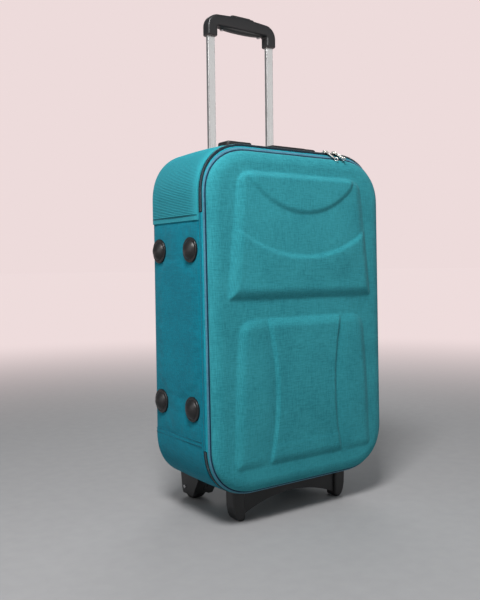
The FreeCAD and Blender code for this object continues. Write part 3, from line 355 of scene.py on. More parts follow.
def dish(edge, columns, rows, height):
    """(vertices, faces): a face over the outline whose y is height(x, z, share), and then rings
    that follow edge, a list of (inset, y) whose first point is the face's border."""
    x, z, share, place = panel_points(edge[0][0], columns, rows)
    y = height(x, z, share)
    vertices = [np.stack([x, y, z], -1).reshape(-1, 3)]
    faces = grid_faces(rows, columns)
    border = border_indices(columns, rows)
    places = place.reshape(-1)[border]
    before, start = border, rows * columns
    for inset, level in edge[1:]:
        x, z = rim(places, inset)
        vertices.append(np.stack([x, np.full_like(x, level), z], -1))
        now = list(range(start, start + len(border)))
        for index in range(len(border)):
            following = (index + 1) % len(border)
            faces.append((before[index], now[index], now[following], before[following]))
        before, start = now, start + len(border)
    return np.concatenate(vertices), faces, before


# ---------------------------------------------------------------- materials

class Paint:
    """One procedural material: nodes are added with add(), values or sockets as inputs."""

    def __init__(self, name, rough, metallic=0.0, specular=0.5):
        self.material = bpy.data.materials.new(name)
        self.material.use_nodes = True
        self.tree = self.material.node_tree
        self.shader = self.tree.nodes["Principled BSDF"]
        self.set("Roughness", rough)
        self.set("Metallic", metallic)
        self.set("Specular IOR Level", specular)
        self.coords = self.tree.nodes.new("ShaderNodeTexCoord").outputs["Object"]
        self.height = None

    def set(self, socket, value):
        """Value or link for one of the shader's own sockets."""
        if isinstance(value, bpy.types.NodeSocket):
            self.tree.links.new(value, self.shader.inputs[socket])
        else:
            self.shader.inputs[socket].default_value = value

    def add(self, kind, output=0, settings=None, **inputs):
        """New node; the inputs are named, or numbered as in1, in2."""
        node = self.tree.nodes.new(f"ShaderNode{kind}")
        for key, value in (settings or {}).items():
            setattr(node, key, value)
        for key, value in inputs.items():
            key = int(key[2:]) if key.startswith("in") and key[2:].isdigit() else key.replace("_", " ")
            socket = node.inputs[key]
            if isinstance(value, bpy.types.NodeSocket):
                self.tree.links.new(value, socket)
            else:
                socket.default_value = value
        return node.outputs[output]

    def math(self, operation, first, second=0.0, third=0.0):
        """One sum over up to three values."""
        return self.add("Math", settings={"operation": operation}, in0=first, in1=second, in2=third)

    def noise(self, scale, detail=2.0, coords=None, rough=0.5):
        """Soft noise over the object's own coordinates or given ones."""
        return self.add("TexNoise", Vector=self.coords if coords is None else coords,
                        Scale=scale, Detail=detail, Roughness=rough)

    def stretched(self, x, y, z):
        """Coordinates scaled along each axis."""
        return self.add("Mapping", Vector=self.coords, Scale=(x, y, z))

    def bands(self, pitch, x, y, z, distortion=0.0):
        """Even bands of a pitch in metres, counted along a direction of the object."""
        line = self.add("VectorMath", output="Value", settings={"operation": "DOT_PRODUCT"},
                        in0=self.coords, in1=(x, y, z))
        if distortion:
            line = self.math("MULTIPLY_ADD", self.noise(90.0), distortion, line)
        wave = self.math("SINE", self.math("MULTIPLY", line, TAU / pitch))
        return self.math("MULTIPLY_ADD", wave, 0.5, 0.5)

    def range(self, value, low, high, to_low=0.0, to_high=1.0):
        """Value carried from one span to another."""
        return self.add("MapRange", Value=value, From_Min=low, From_Max=high,
                        To_Min=to_low, To_Max=to_high)

    def mix(self, factor, first, second):
        """Colour between two colours."""
        return self.add("Mix", output=2, settings={"data_type": "RGBA"},
                        in0=factor, in6=first, in7=second)

    def colour(self, factor, dark, light):
        """Base colour between two 0-255 sRGB colours."""
        self.set("Base Color", self.mix(factor, linear(dark), linear(light)))

    def bump(self, height, distance, strength=1.0):
        """Adds a layer of relief, in metres."""
        inputs = {"Height": height, "Distance": distance, "Strength": strength}
        if self.height is not None:
            inputs["Normal"] = self.height
        self.height = self.add("Bump", **inputs)
        self.set("Normal", self.height)


def linear(colour):
    """Linear RGBA from 0-255 sRGB."""
    out = []
    for part in colour:
        part /= 255
        out.append(part / 12.92 if part <= 0.04045 else ((part + 0.055) / 1.055) ** 2.4)
    return (*out, 1.0)


def fabric(name, dark, light, pitch=1.5 * MM, relief=0.12 * MM, sheen=0.04, weft=(1, 1, 0)):
    """Woven polyester: two crossing threads, slubs along both, a slow change of tone."""
    paint = Paint(name, 0.85, specular=0.12)
    over = paint.bands(pitch, *weft, distortion=0.0006)
    under = paint.bands(pitch * 0.93, 0, 0, 1, distortion=0.0006)
    weave = paint.math("MAXIMUM", over, under)
    level = paint.noise(1.0, 3.0, paint.stretched(75, 75, 620), 0.65)
    upright = paint.noise(1.0, 3.0, paint.stretched(620, 620, 75), 0.65)
    slub = paint.math("MULTIPLY", paint.math("ADD", level, upright), 0.5)
    cloud = paint.noise(14.0, 2.0)
    tone = paint.math("MULTIPLY", paint.range(slub, 0.36, 0.64), 0.55)
    tone = paint.math("MULTIPLY_ADD", weave, 0.22, tone)
    tone = paint.math("MULTIPLY_ADD", paint.range(cloud, 0.3, 0.7), 0.23, tone)
    paint.colour(tone, dark, light)
    paint.set("Roughness", paint.range(slub, 0.35, 0.65, 0.78, 0.95))
    paint.set("Sheen Weight", sheen)
    paint.set("Sheen Roughness", 0.5)
    paint.bump(weave, relief)
    paint.bump(slub, relief * 2.5, 0.8)
    return paint.material


def ribbed_fabric(name, dark, light):
    """Fabric whose modelled ribs carry fine cross threads, darker between the ribs by painted shade in
    the hollows.
    """
    paint = Paint(name, 0.85, specular=0.12)
    thread = paint.bands(1.1 * MM, 0.2, 1, 0.2, distortion=0.0004)
    slub = paint.noise(1.0, 2.0, paint.stretched(500, 120, 500))
    # Painted shade: the tone falls where the surface is concave, darkening the hollows between the ribs.
    hollow_shade = paint.add("NewGeometry", output="Pointiness")
    tone = paint.math("MULTIPLY_ADD", paint.range(hollow_shade, 0.46, 0.53), 0.55,
                      paint.math("MULTIPLY", slub, 0.3))
    tone = paint.math("MULTIPLY_ADD", thread, 0.15, tone)
    paint.colour(tone, dark, light)
    paint.set("Sheen Weight", 0.04)
    paint.set("Sheen Roughness", 0.5)
    paint.bump(thread, 0.1 * MM)
    return paint.material


def plastic(name, dark, light, rough=(0.38, 0.55), grain=900.0, relief=0.05 * MM):
    """Moulded plastic: fine spark grain, faint scuffs and uneven gloss."""
    paint = Paint(name, rough[0])
    fine = paint.noise(grain, 2.0)
    broad = paint.noise(22.0, 4.0)
    scuff = paint.noise(1.0, 5.0, paint.stretched(60, 420, 300), 0.65)
    marks = paint.range(scuff, 0.6, 0.75)
    tone = paint.math("MULTIPLY_ADD", marks, 0.4, paint.math("MULTIPLY", broad, 0.45))
    paint.colour(tone, dark, light)
    gloss = paint.math("MULTIPLY_ADD", marks, 0.12, paint.range(broad, 0.3, 0.7, *rough))
    paint.set("Roughness", gloss)
    paint.bump(fine, relief, 0.7)
    return paint.material


def metal(name, dark, light, rough=(0.22, 0.34), along=(1, 1, 0.02), scale=2600.0):
    """Bare or plated metal with drawing lines along it and a cloudy polish."""
    paint = Paint(name, rough[0], metallic=1.0)
    lines = paint.noise(1.0, 3.0, paint.stretched(*[part * scale for part in along]))
    cloud = paint.noise(30.0, 3.0)
    tone = paint.math("MULTIPLY_ADD", lines, 0.6, paint.math("MULTIPLY", cloud, 0.4))
    paint.colour(tone, dark, light)
    paint.set("Roughness", paint.range(lines, 0.3, 0.7, *rough))
    paint.bump(lines, 0.004 * MM, 0.6)
    return paint.material


def rubber(name, dark, light):
    """Hard tyre rubber with dust in its grain."""
    paint = Paint(name, 0.8, specular=0.3)
    dust = paint.noise(160.0, 6.0, rough=0.7)
    paint.colour(paint.range(dust, 0.35, 0.7), dark, light)
    paint.set("Roughness", paint.range(dust, 0.3, 0.7, 0.65, 0.9))
    paint.bump(paint.noise(1500.0, 2.0), 0.06 * MM)
    return paint.material


def thread(name, dark, light):
    """Twisted sewing thread."""
    paint = Paint(name, 0.6, specular=0.35)
    paint.colour(paint.noise(1800.0, 2.0), dark, light)
    paint.bump(paint.bands(0.5 * MM, 1, 1, 1), 0.05 * MM)
    return paint.material


RIB_PITCH = 2.6 * MM
FRONT = fabric("front_fabric", (22, 104, 115), (56, 152, 162), pitch=1.7 * MM)
RIBBED = ribbed_fabric("ribbed_fabric", (16, 90, 103), (46, 151, 163))
SIDE = fabric("side_fabric", (0, 88, 106), (4, 125, 144), pitch=2.2 * MM, weft=(0.4, 0.4, 1),
              relief=0.2 * MM)
BACK = fabric("back_fabric", (4, 88, 106), (16, 118, 136), pitch=1.5 * MM)
HINGE = fabric("hinge_fabric", (10, 118, 136), (30, 156, 172), pitch=1.2 * MM)
PIPING = fabric("piping_fabric", (44, 92, 112), (84, 138, 158), pitch=1.1 * MM, relief=0.06 * MM,
                sheen=0.1)
# Navy welt cloth, also used for the back binding; beside the piping its darkness is partly painted shade
# of the gaps.
WELT_AND_GAP_SHADE = fabric("welt_and_gap_shade_fabric", (12, 34, 54), (24, 52, 74), pitch=1.0 * MM, relief=0.06 * MM)
TAPE = fabric("zip_tape_fabric", (10, 26, 34), (26, 46, 56), pitch=1.0 * MM, relief=0.08 * MM)
LINING = fabric("lining_fabric", (62, 64, 68), (92, 94, 98), pitch=0.8 * MM, relief=0.05 * MM,
                sheen=0.1)
WEBBING = fabric("webbing_fabric", (16, 16, 18), (44, 44, 47), pitch=1.8 * MM, relief=0.25 * MM)
BLACK = plastic("black_plastic", (20, 20, 21), (40, 40, 41))
GLOSS = plastic("gloss_black_plastic", (12, 12, 13), (30, 29, 29), rough=(0.34, 0.46),
                relief=0.02 * MM)
COIL = plastic("coil_nylon", (44, 60, 68), (92, 112, 118), rough=(0.3, 0.45), relief=0.01 * MM)
GREY = plastic("grey_plastic", (46, 46, 46), (74, 74, 72))
HUB = plastic("hub_plastic", (84, 84, 86), (112, 112, 114))
BOARD = plastic("stiffener_board", (60, 60, 60), (90, 90, 90), rough=(0.6, 0.75), grain=300.0)
RUBBER = rubber("tyre_rubber", (24, 24, 25), (58, 57, 55))
POLE = metal("pole_aluminium", (206, 205, 204), (236, 234, 232), rough=(0.24, 0.34))
PLATED = metal("plated_zip_metal", (190, 186, 178), (240, 237, 230), rough=(0.32, 0.44),
               along=(1, 1, 1), scale=500.0)
DIAL = metal("dial_metal", (150, 150, 154), (210, 210, 212), rough=(0.2, 0.3),
             along=(0.02, 1, 1), scale=900.0)
STEEL = metal("plated_steel", (150, 150, 152), (205, 205, 206), along=(1, 1, 1), scale=700.0)
TEAL_THREAD = thread("teal_thread", (12, 92, 108), (30, 126, 142))
DARK_THREAD = thread("dark_thread", (6, 48, 62), (14, 72, 88))


# ---------------------------------------------------------------- case walls

def wall_section(proud, steps):
    """Section of a wall: front fold, straight run and the turn round the back edge."""
    middle = (BACK_RADIUS - proud, BACK_Y - BACK_RADIUS)
    inner = BACK_RADIUS - WALL - proud
    run = np.linspace(FRONT_Y + 1.6 * MM, middle[1], steps)
    section = [(2.2 * MM, FRONT_Y), (-proud + 0.5 * MM, FRONT_Y + 0.4 * MM)]
    section += [(-proud, y) for y in run]
    section += arc(middle, BACK_RADIUS, 180, 90, 9)[1:]
    section += [(middle[0] + 4 * MM, BACK_Y), (middle[0] + 4 * MM, middle[1] + inner)]
    section += arc(middle, inner, 90, 180, 6)[:-1]
    section += [(WALL, y) for y in run[::-3]]
    return section + [(WALL, FRONT_Y + 0.6 * MM), (WALL - 0.5 * MM, FRONT_Y)]


def rib_height(place, depth):
    """Ribs of the upper gusset, which run from front to back."""
    wave = 0.5 + 0.5 * np.cos(place * TAU / RIB_PITCH)
    fade = smooth_step(depth, FRONT_Y + 2 * MM, FRONT_Y + 5 * MM)
    stitched = 1 - 0.9 * np.exp(-((depth - FRONT_Y - 14 * MM) / (1.4 * MM)) ** 2)
    hem = smooth_step(np.minimum(place - place_at(1, SEAM_HIGH), place_at(-1, SEAM_HIGH) - place),
                      7 * MM, 9 * MM)
    puff = 1.4 * MM * np.sin(np.clip((depth - FRONT_Y) / 0.14, 0, 1) * math.pi)
    line = 1.1 * MM * np.exp(-((1 - hem) * 4 - 2) ** 2 * 2)
    return (0.7 * MM * wave ** 1.2 * fade * stitched) * hem + puff * hem - line * (hem < 0.999)


def upper_gusset():
    """Ribbed fabric over the top and down both shoulders."""
    places = stretch(place_at(1, SEAM_HIGH), place_at(-1, SEAM_HIGH), RIB_PITCH / 6)
    section = wall_section(2.0 * MM, 10)
    made = solid("ribbed_gusset", *sweep(section, places, outward=rib_height), RIBBED, "case", 50)
    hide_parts("upper_gusset")


def lower_gusset():
    """Plain fabric round the bottom."""
    def soft(place, depth):
        waves = ripple(place, depth, 0.12, 4) * 0.35 * MM
        return waves + 0.8 * MM * np.sin(np.clip((depth - FRONT_Y) / 0.14, 0, 1) * math.pi)
    places = stretch(place_at(-1, SEAM_LOW) - AROUND, place_at(1, SEAM_LOW), 4 * MM)
    shape = sweep(wall_section(0.6 * MM, 24), places, outward=soft)
    made = solid("lower_gusset_cover", *shape, SIDE, "case", 50)
    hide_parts("lower_gusset")


def swollen_sheet(columns, rows, width, height, held, pressure):
    """Outward rise of a flat cloth held at its border and at held points, from a simulation."""
    y, z = np.meshgrid(np.linspace(0, width, columns), np.linspace(0, height, rows))
    points = np.stack([np.zeros_like(y), y, z], -1).reshape(-1, 3)
    cloth = solid("cloth_trial", points, grid_faces(rows, columns), SIDE, None, closed=False)
    border = (y == 0) | (y == width) | (z == 0) | (z == height)
    pins = np.flatnonzero((border | held(y, z)).reshape(-1))
    risen = settle(cloth, pins, pressure, gravity=0.0, slack=0.004)
    bpy.data.objects.remove(cloth)
    return risen[:, 0].reshape(rows, columns)


def settle(cloth, pins, pressure, gravity, slack):
    """Points of a cloth after a short simulation, with the pinned points held."""
    frames = 20
    group = cloth.vertex_groups.new(name="pins")
    group.add([int(i) for i in pins], 1.0, "REPLACE")
    modifier = cloth.modifiers.new("settle", "CLOTH")
    modifier.settings.vertex_group_mass = "pins"
    modifier.settings.effector_weights.gravity = gravity
    modifier.settings.use_pressure = pressure != 0
    modifier.settings.uniform_pressure_force = pressure
    modifier.settings.shrink_min = -slack
    modifier.settings.mass = 0.15
    modifier.point_cache.frame_start = 1
    modifier.point_cache.frame_end = frames
    scene = bpy.context.scene
    for number in range(1, frames + 1):
        scene.frame_set(number)
    shaped = cloth.evaluated_get(bpy.context.evaluated_depsgraph_get())
    points = np.zeros(len(shaped.data.vertices) * 3)
    shaped.data.vertices.foreach_get("co", points)
    cloth.modifiers.remove(modifier)
    scene.frame_set(1)
    return points.reshape(-1, 3)


def between(table, up, across):
    """Values of a table at shares of its height and width, from its four nearest entries."""
    rows, columns = table.shape
    row, column = np.broadcast_arrays(np.clip(up * (rows - 1), 0, rows - 1),
                                      np.clip(across, 0, 1) * (columns - 1))
    low, left = np.minimum(row.astype(int), rows - 2), np.minimum(column.astype(int), columns - 2)
    rise, run = row - low, column - left
    lower = table[low, left] * (1 - run) + table[low, left + 1] * run
    upper = table[low + 1, left] * (1 - run) + table[low + 1, left + 1] * run
    return lower * (1 - rise) + upper * rise


def side_panel(name, side):
    """Plain side wall; its fabric swells between the seams and whatever is fixed to it."""
    width, height = BACK_Y - BACK_RADIUS - FRONT_Y, SEAM_HIGH - SEAM_LOW
    low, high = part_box("side_feet" if side < 0 else "side_handle_brackets")
    foot_radius, clear = 20.5 * MM, 2.5 * MM
    bracket_near, bracket_far = 45 * MM, 102 * MM

    def held(y, z):
        y, z = y + FRONT_Y, z + SEAM_LOW
        if side > 0:
            away = abs(z - MIDDLE)
            return (y > low.y) & (y < high.y) & (away > bracket_near) & (away < bracket_far)
        touching = np.zeros(y.shape, bool)
        for foot_y in (low.y + foot_radius, high.y - foot_radius):
            for foot_z in (low.z + foot_radius, high.z - foot_radius):
                touching |= np.hypot(y - foot_y, z - foot_z) < foot_radius + clear
        return touching

    rise = np.clip(swollen_sheet(40, 96, width, height, held, 0.9), 0, 2.2 * MM)

    def outward(place, depth):
        up = (at_place(place, OUT_Z) - SEAM_LOW) / height
        return between(rise, up, (depth - FRONT_Y) / width)

    places = stretch(place_at(side, SEAM_LOW), place_at(side, SEAM_HIGH), 3.5 * MM)
    shape = sweep(wall_section(0, 36), places, outward=outward)
    made = solid(f"side_cover_{name}", *shape, SIDE, "case", 50)
    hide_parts(f"side_panel_{name}")


def back_cover():
    """Board-backed rear panel with a soft channel over each pole, and its binding."""
    pole_x = middle_of("outer_tube_right").x
    level = BACK_Y - 0.4 * MM

    def height(x, z, share):
        inner = 1 - smooth_step(share, 0.9, 1.0)
        channel = np.exp(-((abs(x) - pole_x) / (11 * MM)) ** 4)
        channel = channel * (1 - smooth_step(abs(z - MIDDLE), 0.22, 0.25))
        waves = 0.3 * MM * ripple(x, z, 0.09, 8)
        return level + inner * (1.0 * MM + 4.2 * MM * channel + waves)
    edge = section_at(BACK_Y, (13, -0.4), (12.6, -2), (14, -3))
    vertices, faces, last = dish(edge, 110, 160, height)
    made = solid("back_cover", vertices, faces + [tuple(last[::-1])], BACK, "case")
    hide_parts("back_panel")
    bead = arc((13.2 * MM, BACK_Y), 1.9 * MM, 0, 330, 12)
    cord = solid("back_binding", *sweep(bead, ring_places(4 * MM), wrap=True), WELT_AND_GAP_SHADE, "case", 80)


# ---------------------------------------------------------------- zip, hinge and rims

# Over the top the zip stands this much higher, and the lid's band this much lower.
ZIP_TOP_RISE, BAND_TOP_DROP = 1.4 * MM, 1.3 * MM


def top_share(place):
    """1 over the top of the case and 0 down its sides."""
    return smooth_step(at_place(place, OUT_Z), HIGH - 60 * MM, HIGH - 8 * MM)


def tooth_row(name, body, y_from, y_to, shift):
    """One half of the zip's coil: a short bar every pitch, standing on its tape."""
    pitch = 1.9 * MM
    places = np.arange(ZIP_START + 3 * MM + shift * pitch, ZIP_END - 3 * MM, pitch)
    inset = -0.3 * MM - ZIP_TOP_RISE * top_share(places)
    middle, out = along_outline(places, inset, (y_from + y_to) / 2)
    along = np.broadcast_to((0.0, 1.0, 0.0), out.shape)
    made = solid(name, *beads(middle, along, out, (y_to - y_from) / 2, 0.62 * MM), COIL, body, 60)


def zip_halves():
    """Woven tapes and coil, the case's half and the lid's half."""
    places = stretch(ZIP_START, ZIP_END, 3 * MM)
    case_half = section_at(ZIP_Y, (0.4, 0.25), (0.2, 3.2))
    case_half += section_at(FRONT_Y, (0.8, 2), (2.0, 2))
    case_half += section_at(ZIP_Y, (1.4, 3.2), (1.4, 0.25))

    def raised(place, _):
        return ZIP_TOP_RISE * top_share(place)
    tape = solid("zip_tape_case", *sweep(case_half, places, outward=raised), TAPE, "case")
    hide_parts("body_zip_tape")
    lid_half = section_at(ZIP_Y, (0.4, -0.25), (0.2, -3.2), (0.5, -4.6), (1.8, -4.6), (1.4, -3.2),
                          (1.4, -0.25))
    made = solid("zip_tape_lid", *sweep(lid_half, places, outward=raised), TAPE, "lid")
    tooth_row("zip_coil_case", "case", ZIP_Y - 0.5 * MM, ZIP_Y + 1.9 * MM, 0.0)
    tooth_row("zip_coil_lid", "lid", ZIP_Y - 1.9 * MM, ZIP_Y + 0.5 * MM, 0.5)


def hinge():
    """Fabric strip that joins the lid to the case on the left, with its bright folded edge."""
    places = stretch(ZIP_END - 1 * MM, ZIP_START + AROUND + 1 * MM, 6 * MM)
    levels = np.linspace(FRONT_Y + 2 * MM, ZIP_Y - 4.0 * MM, 12)
    outer = [(0.1 * MM + 0.5 * MM * math.sin(i * 0.9), y) for i, y in enumerate(levels)]
    inner = [(inset + 1.3 * MM, y) for inset, y in outer[::-1]]
    made = solid("hinge_strip", *sweep(outer + inner, places), SIDE, None)
    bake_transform(made)
    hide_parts("hinge_binding")
    fold = arc((-0.1 * MM, ZIP_Y - 3.6 * MM), 1.1 * MM, 0, 330, 10)
    bright = solid("hinge_fold", *sweep(fold, places), HINGE, "lid", 80)


def lid_band():
    """Strip of face fabric between the zip and the piping."""
    ring = ring_places(3.5 * MM)
    rear, front = ZIP_Y - 4.2 * MM, PIPING_Y + 1.4 * MM
    middle = (rear + front) / 2
    section = section_at(rear, (1.6, 0), (0.3, 0), (-0.2, -0.8)) + section_at(middle, (-0.1, 0))
    section += section_at(front, (0.4, 0), (2.2, 0)) + section_at(middle, (2.2, 0))

    def sunk(place, _):
        return -BAND_TOP_DROP * top_share(place)
    made = solid("lid_band_cloth", *sweep(section, ring, wrap=True, outward=sunk), HINGE, "lid", 60)
    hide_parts("lid_band")


def piping():
    """Cord-filled piping round the lid between two narrow dark welts; their dark cloth also stands in
    for painted shade in the gaps beside the cord.
    """
    ring = ring_places(3.5 * MM)
    round_cord = arc((0.7 * MM, PIPING_Y), 2.0 * MM, 0, 340, 16)
    cord = solid("piping_cord", *sweep(round_cord, ring, wrap=True), PIPING, "lid", 80)
    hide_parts("lid_piping")
    # Painted shade: the navy welts are partly the gaps' shadow either side of the cord, made as dark
    # cloth.
    for name, beside, inset in (("rear", 2.3, 0.2), ("front", -2.3, 1.0)):
        welt = section_at(PIPING_Y + beside * MM, (inset + 4, -0.9), (inset + 0.3, -0.9),
                          (inset - 0.4, 0), (inset + 0.3, 0.9), (inset + 4, 0.9))
        made = solid(f"welt_{name}", *sweep(welt, ring, wrap=True), WELT_AND_GAP_SHADE, "lid", 60)


def rims():
    """Bindings that close the walls' edges, seen when the lid is open."""
    ring = ring_places(5 * MM)
    case_rim = section_at(FRONT_Y, (2.0, 3), (2.0, -0.6), (3.2, -1.8), (8.6, -1.8), (10.4, 0),
                          (10.4, 7), (8.4, 7))
    made = solid("case_rim_binding", *sweep(case_rim, ring, wrap=True), WEBBING, "case", 60)
    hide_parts("front_rim_strip")
    lid_rim = section_at(ZIP_Y, (2.0, -8), (2.0, -2.4), (3.2, -1.4), (5.4, -2.4), (8.4, -9),
                         (8.8, -17), (4.5, -17))
    made = solid("lid_rim_binding", *sweep(lid_rim, ring, wrap=True), WEBBING, "lid", 60)
    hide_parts("lid_rim_strip")


# ---------------------------------------------------------------- moulded lid

def bow(start, end, sag):
    """Points of a circular arc from start to end; sag is how far its middle lies to the left."""
    start, end = np.array(start, float), np.array(end, float)
    half = np.linalg.norm(end - start) / 2
    ahead = (end - start) / (2 * half)
    aside = np.array([-ahead[1], ahead[0]])
    radius = (half * half + sag * sag) / (2 * abs(sag))
    spread = math.asin(np.clip(half / radius, -1, 1))
    middle = (start + end) / 2
    points = []
    for angle in np.linspace(-spread, spread, 18):
        lift = math.copysign(radius * math.cos(angle) - radius * math.cos(spread), sag)
        points.append(tuple(middle + ahead * radius * math.sin(angle) + aside * lift))
    return points


def rounded(corners):
    """Closed outline through (x, z, radius) corners, each rounded by its own radius."""
    points = []
    count = len(corners)
    for index, (x, z, radius) in enumerate(corners):
        here = np.array((x, z), float)
        before = np.array(corners[index - 1][:2], float) - here
        after = np.array(corners[(index + 1) % count][:2], float) - here
        before, after = before / np.linalg.norm(before), after / np.linalg.norm(after)
        first, last = here + before * radius, here + after * radius
        for share in np.linspace(0, 1, 9):
            rest = 1 - share
            points.append(tuple(first * rest ** 2 + here * 2 * share * rest + last * share ** 2))
    return points


def inside(x, z, polygon):
    """Distance to a closed polygon's edge, positive inside it."""
    points = np.array(polygon) * MM
    nearest = np.full(x.shape, np.inf)
    within = np.zeros(x.shape, bool)
    for here, following in zip(points, np.roll(points, -1, 0)):
        run, rise = following - here
        from_x, from_z = x - here[0], z - here[1]
        share = np.clip((from_x * run + from_z * rise) / max(run * run + rise * rise, 1e-12), 0, 1)
        nearest = np.minimum(nearest, (from_x - share * run) ** 2 + (from_z - share * rise) ** 2)
        if abs(rise) > 1e-12:
            within ^= ((here[1] > z) != (following[1] > z)) & (from_x < run * from_z / rise)
    return np.where(within, 1, -1) * np.sqrt(nearest)


# Outlines of the emboss, as (x, z) in millimetres.  Each field's corners have a radius too.
UPPER_FIELD = rounded(((-158, 373, 4), (158, 373, 4), (149, 460, 40), (134, 586, 28),
                       (-134, 586, 28), (-149, 460, 40)))
LOWER_FIELD = rounded(((-151, 96, 12), (151, 96, 12), (147, 220, 40), (137, 342, 30),
                       (-137, 342, 30), (-147, 220, 40)))
HALF_MOON = bow((-110, 563), (110, 563), -49) + [(124, 600), (-124, 600)]
LOWER_BAND = [(-165, 506)] + bow((-136, 487), (136, 487), -42) + [(165, 506), (190, 340), (-190, 340)]
WAIST = bow((-81, 100), (-79, 328), -14) + [(-84, 350), (84, 350)] + bow((79, 328), (81, 100), -14)
WAIST += [(84, 60), (-84, 60)]


def shoulder(distance, width):
    """Rise from 0 at a crease to 1 at a width inside it, steep at the crease and level at last."""
    return np.sin(np.clip(distance / width, 0, 1) * math.pi / 2)


def relief(x, z):
    """How far the moulded front stands out of its base plane; the factors are heights in mm."""
    wide = (20 - 10 * smooth_step(z, 0.545, 0.58)) * MM
    upper = shoulder(inside(x, z, UPPER_FIELD), wide)
    moon = shoulder(inside(x, z, HALF_MOON), 9 * MM)
    below = inside(x, z, LOWER_BAND)
    band = shoulder(below, 7 * MM) * (1 - 0.45 * smooth_step(below, 10 * MM, 60 * MM))
    top = upper * (5.6 + 3.4 * moon + 3.8 * band)
    edge = inside(x, z, LOWER_FIELD)
    lower = shoulder(edge, 17 * MM) * (0.65 + 0.35 * smooth_step(z, 0.1, 0.2))
    waist = inside(x, z, WAIST)
    channel = np.exp(-np.maximum(-waist, 0) / (24 * MM)) * (waist < 0)
    pane = shoulder(waist, 5 * MM)
    foot = smooth_step(0.130 - z, -3 * MM, 3 * MM) * pane
    bottom = lower * (6.0 - 4.6 * channel - 4.6 * (waist >= 0) * (1 - pane) + 0.8 * foot)
    return (top + bottom) * MM


def softened(height, passes):
    """Height field with its sharpest folds eased, as cloth stretched over a mould does."""
    for _ in range(passes):
        inner = height[1:-1, 1:-1]
        around = height[:-2, 1:-1] + height[2:, 1:-1] + height[1:-1, :-2] + height[1:-1, 2:]
        height[1:-1, 1:-1] = 0.5 * inner + 0.125 * around
    return height


def lid_shell():
    """Fabric-covered moulded front with its two embossed fields."""
    side_inset, wide, back = 2.6 * MM, 24 * MM, PIPING_Y - 2.2 * MM
    deep = back - 1.4 * MM - SHELL_FRONT
    turn = [(side_inset + wide * (1 - math.cos(a)), SHELL_FRONT + deep * (1 - math.sin(a)))
            for a in np.radians(np.linspace(80, 0, 11))]
    edge = turn + [(side_inset, back - 1 * MM), (side_inset + 1 * MM, back), (9.2 * MM, back),
                   (9.2 * MM, LID_LINING_Y - 1.8 * MM)]

    def height(x, z, share):
        crown = 2.0 * MM * (1 - smooth_step(share, 0.4, 1.0))
        waves = 0.15 * MM * ripple(x, z, 0.05, 3) * (1 - smooth_step(share, 0.85, 1.0))
        rolled = deep * (1 - math.sin(math.radians(80)))
        emboss = softened(relief(x, z), 2)
        return SHELL_FRONT + rolled * smooth_step(share, 0.93, 1.0) - crown - emboss - waves

    vertices, faces, last = dish(edge, 176, 264, height)
    made = solid("lid_shell_cover", vertices, faces + [tuple(last[::-1])], FRONT, "lid", 60)
    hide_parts("lid_shell")


# ---------------------------------------------------------------- linings, pocket and straps

def linings():
    """Sewn linings of the packing space and of the lid."""
    floor = LINING_FLOOR
    edge = arc((24 * MM, floor - 15 * MM), 15 * MM, 90, 180, 7)
    edge += [(9 * MM, y) for y in np.linspace(floor - 25 * MM, FRONT_Y + 4 * MM, 6)]

    def wrinkled(x, z, share):
        soft = 1 - smooth_step(share, 0.8, 1.0)
        return floor - soft * (0.7 * MM + 0.7 * MM * ripple(x, z, 0.11, 12))
    vertices, faces, _ = dish(edge, 80, 120, wrinkled)
    made = solid("lining_cloth", vertices, faces, LINING, "case", closed=False)
    made.modifiers.new("thickness", "SOLIDIFY").thickness = 0.8 * MM
    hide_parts("body_lining")
    level = LID_LINING_Y
    edge = [(9.6 * MM, level), (9.4 * MM, level + 3 * MM), (9.4 * MM, level + 7 * MM)]

    def puckered(x, z, share):
        return level - (1 - smooth_step(share, 0.9, 1.0)) * 0.5 * MM * ripple(x, z, 0.07, 21)
    vertices, faces, _ = dish(edge, 70, 104, puckered)
    made = solid("lid_lining_cloth", vertices, faces, LINING, "lid", closed=False)
    made.modifiers.new("thickness", "SOLIDIFY").thickness = 0.8 * MM
    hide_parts("lid_lining")


def lid_pocket():
    """Cloth pocket inside the lid, gathered a little by the elastic along its top."""
    low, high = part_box("lid_pocket")
    columns, rows = 57, 73
    across, up = np.meshgrid(np.linspace(0, 1, columns), np.linspace(0, 1, rows))
    x, z = low.x + across * (high.x - low.x), low.z + up * (high.z - low.z)
    fullness = np.sin(across * math.pi) * smooth_step(up, 0.0, 0.25) * MM
    gathers = 1.6 * fullness * np.sin(across * TAU * 7) * up ** 2
    wall = LID_LINING_Y + 1.6 * MM
    y = wall + 1 * MM + 5 * fullness * (0.6 + 0.4 * up) + gathers
    points = np.stack([x, y, z], -1).reshape(-1, 3)
    made = solid("lid_pocket_cloth", points, grid_faces(rows, columns), LINING, None, closed=False)
    border = (across == 0) | (across == 1) | (up == 0) | (up == 1)
    pins = np.flatnonzero(border.reshape(-1))
    settled = settle(made, pins, 0.0, gravity=0.12, slack=0.0)
    settled[:, 1] = np.clip(settled[:, 1], wall + 0.6 * MM, wall + 9 * MM)
    made.data.vertices.foreach_set("co", settled.ravel())
    made.modifiers.new("thickness", "SOLIDIFY").thickness = 0.7 * MM
    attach(made, "lid")
    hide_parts("lid_pocket")
    line = np.linspace(0, 1, 60)
    top = np.stack([low.x + line * (high.x - low.x), wall + 1 * MM + 4 * MM * np.sin(line * math.pi),
                    np.full(60, high.z)], -1)
    section = arc((0, 0), 1.0, 0, 330, 8)
    rings = [top + np.array([0, 1.6 * out, 4.5 * rise]) * MM for rise, out in section]
    vertices = np.stack(rings, 1).reshape(-1, 3)
    elastic = solid("pocket_elastic", vertices, tube_faces(60, 8), WEBBING, "lid", 60)


